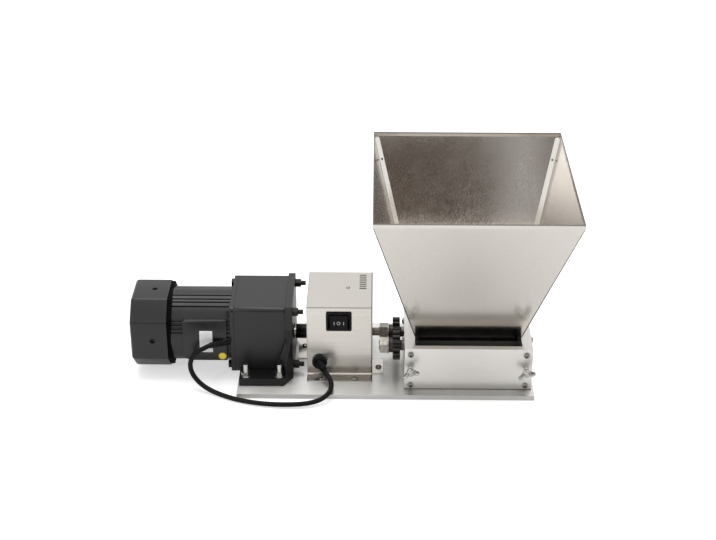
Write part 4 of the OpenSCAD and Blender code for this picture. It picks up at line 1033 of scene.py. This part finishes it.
@dataclass
class GearMotor:
    """The trim of the gear motor: its grooved barrel, fan cover, end ring and the bare plate on its terminal pad.

    Attributes:
        axis_z: Height of the motor's axis, in mm.
        barrel_r: Radius over the barrel.
        barrel_x: Where the barrel starts and ends.
        grooves: Angles of the cooling grooves above the front, in degrees; the back has the same.
        groove_depth: Depth of a groove.
        pad_x: Where the terminal pad starts and ends.
        pad_r: Distance of the pad's front from the axis.
        pad_root: Distance of its back, inside the barrel.
        pad_half: Half its height.
        cover_x: Where the fan cover starts and ends.
        cover_half: Half its width over the flats.
        cover_cut: How far its corners are cut.
        cover_wall: Thickness of its sheet.
        screw_x: Where its four screws are.
        plate_x: Where the bare plate starts and ends.
        plate_z: Heights of its lower and upper edge, before it is wrapped round the pad.
        disc_at: Place of the plain disc, as x and z.
    """

    axis_z: float = 55.5
    barrel_r: float = 45.2
    barrel_x: tuple[float, float] = (-262.0, -189.0)
    grooves: tuple[float, ...] = (77, 69, 63, 55, 31, 25, 19, 13)
    groove_depth: float = 2.4
    pad_x: tuple[float, float] = (-247.0, -193.0)
    pad_r: float = 48.0
    pad_root: float = 38.0
    pad_half: float = 26.0
    cover_x: tuple[float, float] = (-311.0, -266.0)
    cover_half: float = 47.0
    cover_cut: float = 22.0
    cover_wall: float = 2.0
    screw_x: float = -284.0
    plate_x: tuple[float, float] = (-226.2, -210.4)
    plate_z: tuple[float, float] = (41.4, 70.0)
    disc_at: tuple[float, float] = (-198.9, 36.0)

    def build(self) -> None:
        """Makes every piece of the motor's trim."""
        self._barrel()
        self._fan_cover()
        self._end_ring()
        self._cover_screws()
        self._bare_plate()
        self._disc()

    def _barrel(self) -> None:
        """Makes the barrel with its cooling grooves and the terminal pad."""
        x0, x1 = self.barrel_x
        bm = bmesh.new()
        bmesh.ops.create_circle(bm, segments=180, radius=self.barrel_r * MM)
        bmesh.ops.rotate(bm, verts=bm.verts, cent=(0, 0, 0), matrix=Matrix.Rotation(QUARTER, 3, "Y"))
        bmesh.ops.translate(bm, verts=bm.verts, vec=mm(x0, 0, self.axis_z))
        out = bmesh.ops.extrude_edge_only(bm, edges=bm.edges[:])
        bmesh.ops.translate(bm, verts=verts_in(out["geom"]), vec=mm(x1 - x0, 0, 0))
        tidy(bm)
        cut = [f for f in bm.faces if len(f.verts) == 4 and self._in_groove(f.calc_center_median())]
        bmesh.ops.inset_individual(bm, faces=cut, thickness=0.25 * MM, depth=-self.groove_depth * MM)
        rounded(bm, 0.3, 1)
        self._pad(bm)
        piece("motor_barrel", bm, CHARCOAL_PAINT, ["motor_housing"])

    def _in_groove(self, at: Vector) -> bool:
        """Tells whether a strip of the barrel is one of the grooves."""
        angle = math.degrees(math.atan2(at.z - self.axis_z * MM, abs(at.y)))
        return any(abs(angle - g) < 0.9 for g in self.grooves)

    def _pad(self, bm: BMesh) -> None:
        """Adds the terminal pad: round like the barrel above its middle, upright below, with its left corners cut.

        Args:
            bm: The barrel's mesh.
        """
        pad = bmesh.new()
        x0, x1 = self.pad_x
        top = math.asin(self.pad_half / self.pad_r)
        corners = [(x0, -self.pad_root), (x0, -self.pad_r), (x1, -self.pad_r), (x1, -self.pad_root)]
        face = pad.faces.new([pad.verts.new(mm(x, y, self.axis_z)) for x, y in corners])
        out = bmesh.ops.extrude_face_region(pad, geom=[face])
        bmesh.ops.translate(pad, verts=verts_in(out["geom"]), vec=mm(0, 0, -self.pad_half))
        bmesh.ops.spin(
            pad,
            geom=[face, *face.edges, *face.verts],
            cent=mm(0, 0, self.axis_z),
            axis=RIGHT,
            angle=-top,
            steps=12,
            use_merge=False,
        )
        bmesh.ops.delete(pad, geom=[f for f in pad.faces if self._inside_pad(f)], context="FACES")
        tidy(pad)
        for v in pad.verts:
            if math.atan2(v.co.z - self.axis_z * MM, -v.co.y) > top - 0.01:
                v.co.z = (self.axis_z + self.pad_half) * MM
        left, high, low = x0 + 0.5, self.axis_z + self.pad_half - 0.1, self.axis_z - 20
        bevelled(pad, edges_where(pad, lambda m, d: abs(d.x) < 0.1 and m.x < left and m.z > high), 6.0, 1)
        bevelled(pad, edges_where(pad, lambda m, d: abs(d.y) > 0.9 and m.x < left and m.z < low), 10.0, 5)
        rounded(pad, 0.9, 3, 40)
        joined(bm, pad)

    def _inside_pad(self, face: bmesh.types.BMFace) -> bool:
        """Tells whether a face is the seam between the pad's two halves."""
        return abs(face.normal.z) > 0.99 and abs(face.calc_center_median().z - self.axis_z * MM) < 1e-5

    def _octagon(self, x0: float, x1: float, half: float, cut: float) -> BMesh:
        """Makes a bar along X whose square section has cut corners.

        Args:
            x0: Where it starts, in mm.
            x1: Where it ends.
            half: Half its width over the flats.
            cut: How far its corners are cut.

        Returns:
            The mesh.
        """
        bm = bmesh.new()
        block(bm, (x0, -half, self.axis_z - half), (x1, half, self.axis_z + half))
        bevelled(bm, edges_where(bm, lambda m, d: abs(d.x) > 0.9), cut, 1)
        return bm

    def _fan_cover(self) -> None:
        """Makes the pressed fan cover: a hollow shell with a round nose, slots in its end and screw dimples."""
        x0, x1 = self.cover_x
        bm = self._octagon(x0, x1, self.cover_half, self.cover_cut)
        bevelled(bm, edges_where(bm, lambda m, d: abs(d.x) > 0.9), 1.6, 3)
        bevelled(bm, edges_where(bm, lambda m, d: m.x < x0 + 0.1), 7.0, 6)
        mouth = [f for f in bm.faces if f.calc_center_median().x > (x1 - 0.1) * MM]
        bmesh.ops.delete(bm, geom=mouth, context="FACES_ONLY")
        bmesh.ops.remove_doubles(bm, verts=bm.verts, dist=1e-6)
        bmesh.ops.recalc_face_normals(bm, faces=bm.faces)
        bmesh.ops.solidify(bm, geom=bm.faces[:], thickness=self.cover_wall * MM)
        bmesh.ops.recalc_face_normals(bm, faces=bm.faces)
        tool = bmesh.new()
        for i in range(-4, 5):
            half = 26 - abs(i) * 2.5
            z = self.axis_z + i * 7
            block(tool, (x0 - 1, -half, z - 1.5), (x0 + 4, half, z + 1.5))
        for place in self._screw_turns():
            spun(tool, [(0, 44.5), (2.6, 44.5), (3.6, 48), (0, 48)], place, 28)
        tidy(tool)
        piece("fan_cover_shell", carved(bm, tool), CHARCOAL_PAINT, ["fan_cover"])

    def _screw_turns(self) -> list[Matrix]:
        """Gives the moves that turn +Z to each of the four flats with a screw, about the motor's axis."""
        middle = Matrix.Translation(mm(self.screw_x, 0, self.axis_z))
        return [middle @ Matrix.Rotation(i * QUARTER, 4, "X") for i in range(4)]

    def _end_ring(self) -> None:
        """Makes the black ring that closes the step between fan cover and barrel."""
        x1 = self.cover_x[1]
        bm = self._octagon(x1 - 0.4, x1 + 5.0, self.cover_half - 1.4, self.cover_cut - 1)
        rounded(bm, 1.5, 3, 30)
        tool = turned([(0, -8), (43, -8), (43, 12), (0, 12)], seat((x1, 0, self.axis_z), RIGHT), 64)
        piece("fan_cover_ring", carved(bm, tool), DULL_BLACK_RING)

    def _cover_screws(self) -> None:
        """Makes the four sunk socket screws of the fan cover."""
        profile = [(0, -9), (1.5, -9), (1.5, -3), (2.5, -3), (2.5, -1.2), (2.0, -0.9), (0, -0.9)]
        head = turned(profile, Matrix.Identity(4), 24)
        socket = bmesh.new()
        r = 1.3 * MM
        bmesh.ops.create_cone(socket, cap_ends=True, segments=6, radius1=r, radius2=r, depth=2.4 * MM)
        bmesh.ops.translate(socket, verts=socket.verts, vec=mm(0, 0, -0.9))
        up = Matrix.Translation(mm(0, 0, self.cover_half))
        bm = bmesh.new()
        joined(bm, carved(head, socket), [place @ up for place in self._screw_turns()])
        piece("fan_cover_socket_screws", bm, BLACK_OXIDE, ["fan_cover_screws"])

    def _bare_plate(self) -> None:
        """Makes the plate on the pad, left bare and wrapped round its upper half."""
        (x0, x1), (z0, z1) = self.plate_x, self.plate_z
        bm = bmesh.new()
        block(bm, (x0, -self.pad_r - 0.4, z0), (x1, -self.pad_r + 0.25, z1))
        upright = edges_where(bm, lambda m, d: abs(d.z) > 0.9)
        bmesh.ops.subdivide_edges(bm, edges=upright, cuts=14, use_grid_fill=True)
        for v in bm.verts:
            rise = v.co.z - self.axis_z * MM
            if rise > 0:
                out = -v.co.y
                v.co.y = -out * math.cos(rise / out)
                v.co.z = self.axis_z * MM + out * math.sin(rise / out)
        rounded(bm, 0.15, 1, 60)
        piece("terminal_pad_bare_plate", bm, PLATE_FILM)

    def _disc(self) -> None:
        """Makes the plain yellow disc on the pad and its dusty edge."""
        place = seat((self.disc_at[0], -self.pad_r, self.disc_at[1]), FRONT)
        disc = [(0, -0.2), (4.3, -0.2), (4.3, 0.35), (4.0, 0.5), (1.5, 0.62), (0, 0.66)]
        piece("terminal_pad_plain_disc", turned(disc, place, 48), YELLOW_VINYL)
        edge = [(4.3, -0.2), (5.5, -0.2), (5.5, 0.2), (5.2, 0.4), (4.5, 0.4), (4.3, 0.3), (4.3, -0.2)]
        piece("terminal_pad_disc_edge", turned(edge, place, 48), DUSTY_VINYL)


@dataclass
class Fasteners:
    """The cross-recess screws of the mill, box and hopper.

    Attributes:
        head_r: Radius of a head, in mm.
        head_h: Height of a head.
        shank_r: Radius of the shank.
        cover_x: Places of the cover's screws along the mill.
        cover_z: Their heights.
        box_at: Places of the box's screws, as x and y.
        box_z: Height of the flanges and tabs that they sit on.
        hopper_y: Places of the hopper's screws, front and rear.
        hopper_z: Their height.
    """

    head_r: float = 3.8
    head_h: float = 2.6
    shank_r: float = 2.0
    cover_x: tuple[float, float] = (30.5, 169.5)
    cover_z: tuple[float, float] = (12.5, 54.875)
    box_at: Profile = ((-78, -53), (-37, -53), (-78, 61), (-37, 61), (-8.25, -25), (-101.75, 25))
    box_z: float = 7.5
    hopper_y: tuple[float, float] = (-43, 1)
    hopper_z: float = 58.875

    def build(self) -> None:
        """Makes the screws of each sub-assembly."""
        faces = ((-73.0, FRONT), (40.5, REAR))
        cover = [((x, y, z), out) for y, out in faces for x in self.cover_x for z in self.cover_z]
        self._set("cover_cross_screws", cover, "cover_screws")
        self._set("box_cross_screws", [((x, y, self.box_z), UP) for x, y in self.box_at], "box_screws")
        sides = ((23.0, LEFT), (177.0, RIGHT))
        hopper = [((x, y, self.hopper_z), out) for x, out in sides for y in self.hopper_y]
        self._set("hopper_cross_screws", hopper, "hopper_screws")

    def _pan_head(self) -> BMesh:
        """Makes one pan head with its cross recess, and the start of its shank.

        Returns:
            The mesh, with the head's seat at the origin.
        """
        r, h, shank = self.head_r, self.head_h, self.shank_r
        turns = (0.0, 0.3, 0.6, 0.9, 1.2, 1.45, QUARTER)
        dome = [(r * math.sin(a), h * (0.35 + 0.65 * math.cos(a))) for a in turns]
        stem = [(r, 0.1), (r - 0.15, 0), (shank, 0), (shank, -6), (0, -6)]
        bm = turned(dome + stem, Matrix.Identity(4), 32)
        tool = bmesh.new()
        for turn in (0, 1):
            verts = block(tool, (-0.55, -2.3, h - 1.5), (0.55, 2.3, h + 1))
            for v in verts:
                if v.co.z < (h - 1) * MM:
                    v.co.y *= 0.55
            bmesh.ops.rotate(tool, verts=verts, cent=(0, 0, 0), matrix=Matrix.Rotation(turn * QUARTER, 3, "Z"))
        return carved(bm, tool)

    def _set(self, name: str, places: Iterable[tuple[Point, Point]], node: str) -> None:
        """Sets a group of screws, each left at its own turn.

        Args:
            name: The piece's name.
            places: Seat and direction of each head.
            node: The node that the group stands for.
        """
        bm = bmesh.new()
        spots = []
        for i, (at, out) in enumerate(places):
            spots.append(seat(at, out) @ Matrix.Rotation(math.radians(37 * i + 20), 4, "Z"))
        joined(bm, self._pan_head(), spots)
        piece(name, bm, SHADED_SCREW_STAINLESS, [node])


@dataclass
class WingScrews:
    """The two wing screws that set the gap between the rollers.

    Attributes:
        xs: Their places along the mill, in mm.
        axis_z: Height of their axes.
        seat_y: Where the hub's inner face is.
        tip_y: Where the screw ends inside.
        roll: How far the wings are turned, in degrees.
        wing_thick: Thickness of a wing.
        thread: Outer and inner radius of the thread.
        threads: Turns of the thread that are drawn, 1 mm apart.
    """

    xs: tuple[float, float] = (30.5, 169.5)
    axis_z: float = 36.0
    seat_y: float = -80.0
    tip_y: float = -38.0
    roll: float = 20.0
    wing_thick: float = 2.6
    thread: tuple[float, float] = (2.5, 2.15)
    threads: int = 11

    def build(self) -> None:
        """Makes both screws."""
        outer, inner = self.thread
        hub = [(0, 6), (3.6, 6), (4.5, 5.4), (4.9, 4.2), (5, 1.2), (4.6, 0.2), (4.2, 0), (outer, 0), (outer, -1.0)]
        for i in range(self.threads):
            hub += [(outer, -1.2 - i), (inner, -1.7 - i), (outer, -2.2 - i)]
        end = self.seat_y - self.tip_y
        hub += [(outer, -13.5), (outer, end + 0.6), (1.9, end), (0, end)]
        roll = Matrix.Rotation(math.radians(-self.roll), 4, "Y")
        for x, side in zip(self.xs, ("left", "right")):
            bm = bmesh.new()
            self._wings(bm)
            spun(bm, hub, turn_to(Vector(FRONT)), 36)
            tidy(bm)
            place = Matrix.Translation(mm(x, self.seat_y, self.axis_z)) @ roll
            bmesh.ops.transform(bm, matrix=place, verts=bm.verts)
            node, body = f"wing_screw_{side}", f"{side}_wing"
            piece(f"{side}_cast_wing_screw", bm, ZINC_PLATE, [node], body)

    def _wings(self, bm: BMesh) -> None:
        """Adds the two cast wings, each a rounded slab that leans forward.

        Args:
            bm: The screw's mesh.
        """
        for side in (-1, 1):
            wing = bmesh.new()
            for at, r in (((side * 3.2, -3.0, 0), 2.4), ((side * 7.5, -9.5, 0), 3.5)):
                bmesh.ops.create_cone(
                    wing,
                    cap_ends=True,
                    segments=28,
                    radius1=r * MM,
                    radius2=r * MM,
                    depth=self.wing_thick * MM,
                    matrix=Matrix.Translation(mm(*at)),
                )
            hull = bmesh.ops.convex_hull(wing, input=wing.verts[:])
            spare = verts_in(hull["geom_interior"] + hull["geom_unused"])
            bmesh.ops.delete(wing, geom=spare, context="VERTS")
            bmesh.ops.dissolve_limit(wing, angle_limit=math.radians(1), verts=wing.verts[:], edges=wing.edges[:])
            rounded(wing, 0.8, 3, 50)
            joined(bm, wing)


@dataclass
class BoxTrim:
    """The small pieces on the box: the rivet on its top, the bends over its flanges and the marks on the rocker.

    Attributes:
        rivet_at: Place of the rivet, in mm.
        marks_z: Height of the marks' middle.
        marks_y: The rocker's front in its middle.
        rocker_x: Middle of the rocker.
        rocker_slope: How far the rocker's two halves come forward, per mm from its middle.
        bend_r: Inside radius of the bends above the flanges.
        bend_x: Where the bends start and end.
        flange_z: Height of the flanges' top.
    """

    rivet_at: Point = (-46.5, 8.2, 101.5)
    marks_z: float = 80.8
    marks_y: float = -44.0
    rocker_x: float = -56.75
    rocker_slope: float = 1.4 / 10.8
    bend_r: float = 1.6
    bend_x: tuple[float, float] = (-95.8, -16.2)
    flange_z: float = 7.5

    def build(self) -> None:
        """Makes the rivet, the bends and the marks."""
        rivet = [(0, 1.1), (1.0, 1.0), (1.9, 0.75), (2.6, 0.3), (2.75, 0), (1.6, 0), (1.6, -1.5), (0, -1.5)]
        bm = turned(rivet, Matrix.Translation(mm(*self.rivet_at)), 32)
        piece("box_top_rivet", bm, SHADED_SCREW_STAINLESS)
        self._bends()
        self._marks()

    def _bends(self) -> None:
        """Makes the round bends where the box's front and rear turn out into their flanges."""
        bm = bmesh.new()
        x0, x1 = self.bend_x
        high = self.flange_z + self.bend_r
        for wall, out in ((-41.0, -1), (49.0, 1)):
            first = bm.verts.new(mm(x0, wall, high))
            middle = mm(x0, wall + out * self.bend_r, high)
            arc = bmesh.ops.spin(bm, geom=[first], cent=middle, axis=RIGHT, angle=out * QUARTER, steps=8)
            corner = bm.verts.new(mm(x0, wall - out * 0.1, self.flange_z - 0.1))
            bm.edges.new((first, corner))
            bm.edges.new((corner, verts_in(arc["geom_last"])[0]))
        faces = bmesh.ops.edgenet_fill(bm, edges=bm.edges[:])["faces"]
        moved = bmesh.ops.extrude_face_region(bm, geom=faces, use_keep_orig=True)
        bmesh.ops.translate(bm, verts=verts_in(moved["geom"]), vec=mm(x1 - x0, 0, 0))
        tidy(bm)
        piece("box_flange_bends", bm, BOX_STAINLESS)

    def _marks(self) -> None:
        """Prints a stroke, a ring and a stroke on the two slopes of the rocker."""
        bm = bmesh.new()
        y, z = self.marks_y, self.marks_z
        for offset in (-5.6, 5.9):
            x = self.rocker_x + offset
            block(bm, (x - 0.5, y - 0.12, z - 2.2), (x + 0.5, y + 0.15, z + 2.2))
        ring = [(1.5, -0.15), (2.3, -0.15), (2.3, 0.12), (1.5, 0.12), (1.5, -0.15)]
        spun(bm, ring, seat((self.rocker_x - 0.3, y, z), FRONT), 32)
        tidy(bm)
        rounded(bm, 0.05, 1)
        for v in bm.verts:
            v.co.y -= abs(v.co.x - self.rocker_x * MM) * self.rocker_slope
        piece("rocker_marks", bm, PAD_PRINT, body="rocker")


@dataclass
class HopperTrim:
    """The hopper's corner weld runs, the rivets of its strips and a black seal of painted shade in the slot before
    it.

    Attributes:
        centre: Middle of the hopper, in mm.
        collar: Half the collar's width and depth.
        rim: Half the rim's width and depth.
        bend_z: Height where the walls start to lean.
        lip_z: Height where the lip starts.
        run_r: Radius of a weld run.
        seal: Lowest and highest corner of each part of the seal, a black piece of painted shade in the slot: the
        lip on the cover, the flap below it, the two end blocks and the two end walls.
    """

    centre: tuple[float, float] = (100.0, -21.0)
    collar: tuple[float, float] = (64.35, 30.0)
    rim: tuple[float, float] = (116.0, 129.5)
    bend_z: float = 66.875
    lip_z: float = 262.475
    run_r: float = 0.75
    seal: tuple[tuple[Point, Point], ...] = (
        ((38.3, -65.0, 49.6), (161.7, -63.3, 62.3)),
        ((38.3, -63.4, 49.6), (161.7, -51.4, 51.2)),
        ((35.65, -65.0, 54.9), (38.4, -51.4, 62.3)),
        ((161.6, -65.0, 54.9), (164.35, -51.4, 62.3)),
        ((38.15, -63.4, 50.4), (39.6, -51.4, 62.1)),
        ((160.4, -63.4, 50.4), (161.85, -51.4, 62.1)),
    )

    def build(self) -> None:
        """Makes the weld runs, the rivets and the black seal of painted shade."""
        self._runs()
        self._rivets()
        self._shade_seal()

    def _corner(self, sx: int, sy: int, share: float, inset: float) -> Vector:
        """Gives a place on one of the corners.

        Args:
            sx: -1 for the left, 1 for the right.
            sy: -1 for the front, 1 for the rear.
            share: 0 at the bend and 1 at the lip.
            inset: How far inside the corner, in mm.

        Returns:
            The place, in metres.
        """
        half = [a + (b - a) * share - inset for a, b in zip(self.collar, self.rim)]
        height = self.bend_z + (self.lip_z - self.bend_z) * share
        return mm(self.centre[0] + sx * half[0], self.centre[1] + sy * half[1], height)

    def _runs(self) -> None:
        """Makes one weld run down each corner, with round ends."""
        bm = bmesh.new()
        r = self.run_r
        for sx, sy in ((-1, -1), (-1, 1), (1, -1), (1, 1)):
            low, high = self._corner(sx, sy, 0.0, 0.35), self._corner(sx, sy, 1.0, 0.75)
            way = high - low
            end = way.length / MM
            profile = [(0, 0), (0.7 * r, 0.3 * r), (r, r), (r, end - r), (0.7 * r, end - 0.3 * r), (0, end)]
            spun(bm, profile, Matrix.Translation(low) @ turn_to(way), 12)
        tidy(bm)
        piece("hopper_weld_runs", bm, WELD_RUN)

    def _rivets(self) -> None:
        """Makes the two rivets of each rear corner strip."""
        bm = bmesh.new()
        rivet = [(0, 0.9), (0.8, 0.8), (1.5, 0.45), (1.8, 0.0), (1.8, -0.8), (0, -0.8)]
        for sx in (-1, 1):
            for share in (0.36, 0.875):
                at = self._corner(sx, 1, share, 1.26) + mm(-sx * 2.75, -2.75, 0)
                spun(bm, rivet, Matrix.Translation(at) @ turn_to(Vector((-sx, -1, 0.35))), 20)
        tidy(bm)
        piece("corner_strip_rivets", bm, SHADED_SCREW_STAINLESS)

    def _shade_seal(self) -> None:
        """Makes the black seal of painted shade in the shadowed slot before the hopper."""
        bm = bmesh.new()
        for low, high in self.seal:
            block(bm, low, high)
        rounded(bm, 0.3, 2)
        # The seal's black is painted shade for the slot, which lies in shadow.
        piece("slot_painted_shade_seal", bm, MOULDED_BLACK)


class CadDress:
    """Gives the CAD nodes their finishes and softened edges."""

    # Widths of the softened edges, in mm, and the width where a node isn't named.
    COMMON_EDGE = 0.35
    EDGE: dict[str, float] = {
        "base_plate": 0.5,
        "gear_case": 0.8,
        "gear_case_lid": 0.7,
        "motor_bracket": 0.9,
        "drive_gear_nut": 0.6,
        "front_gear_nut": 0.6,
        "front_cover": 0.8,
        "box_shell": 1.0,
        "switch_housing": 0.6,
        "switch_rocker": 0.45,
        "hopper_front_panel": 0.18,
        "hopper_rear_panel": 0.18,
        "hopper_left_panel": 0.18,
        "hopper_right_panel": 0.18,
        "hopper_corner_strips": 0.3,
    }
    # Nodes whose finish isn't their slot's.
    SPECIAL: dict[str, Finish] = {
        "box_shell": LINE_SHADED_STAINLESS,
        "front_cover": FOOT_SHADOW_ALUMINIUM,
        "hopper_corner_strips": LIT_STRIP_STAINLESS,
        "drive_gear": LIT_GEAR_OXIDE,
        "front_gear": LIT_GEAR_OXIDE,
        "drive_gear_nut": TURNED_STEEL,
        "front_gear_nut": TURNED_STEEL,
        "drive_roller": knurled("knurled_drive_roller_painted_shade", 0.0),
        "front_roller": knurled("knurled_front_roller_painted_shade", -32.5),
    }

    def __init__(self, nodes: dict[str, bpy.types.Object]) -> None:
        """Keeps the nodes by name."""
        self.nodes = nodes

    def build(self) -> None:
        """Dresses every node."""
        for name, obj in self.nodes.items():
            slot = obj.material_slots[0].material.name.split(".")[0]
            finish = self.SPECIAL.get(name) or SLOT_FINISH[slot]
            obj.material_slots[0].material = finish.material()
            self._soften(obj, self.EDGE.get(name, self.COMMON_EDGE))
            LOG.info("node %s: %s", name, finish.name)

    def _soften(self, obj: bpy.types.Object, width: float) -> None:
        """Rounds a node's sharp edges with modifiers.

        Args:
            obj: The node.
            width: Width of the rounding, in mm.
        """
        weld = obj.modifiers.new("join_corners", "WELD")
        weld.merge_threshold = 1e-6
        flat = obj.modifiers.new("join_flats", "DECIMATE")
        flat.decimate_type = "DISSOLVE"
        flat.angle_limit = math.radians(0.3)
        bevel = obj.modifiers.new("soft_edge", "BEVEL")
        bevel.width = width * MM
        bevel.segments = 2
        bevel.limit_method = "ANGLE"
        bevel.angle_limit = math.radians(32)
        bevel.harden_normals = True
        bevel.use_clamp_overlap = True


def main() -> None:
    """Builds the dressed mill in order."""
    logging.basicConfig(level=logging.INFO, format="%(message)s")
    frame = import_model()
    Studio().build()
    MotorCable().build()
    GearMotor().build()
    Fasteners().build()
    WingScrews().build()
    BoxTrim().build()
    HopperTrim().build()
    CadDress(frame["nodes"]).build()
    bpy.context.view_layer.update()


if __name__ == "__main__":
    main()
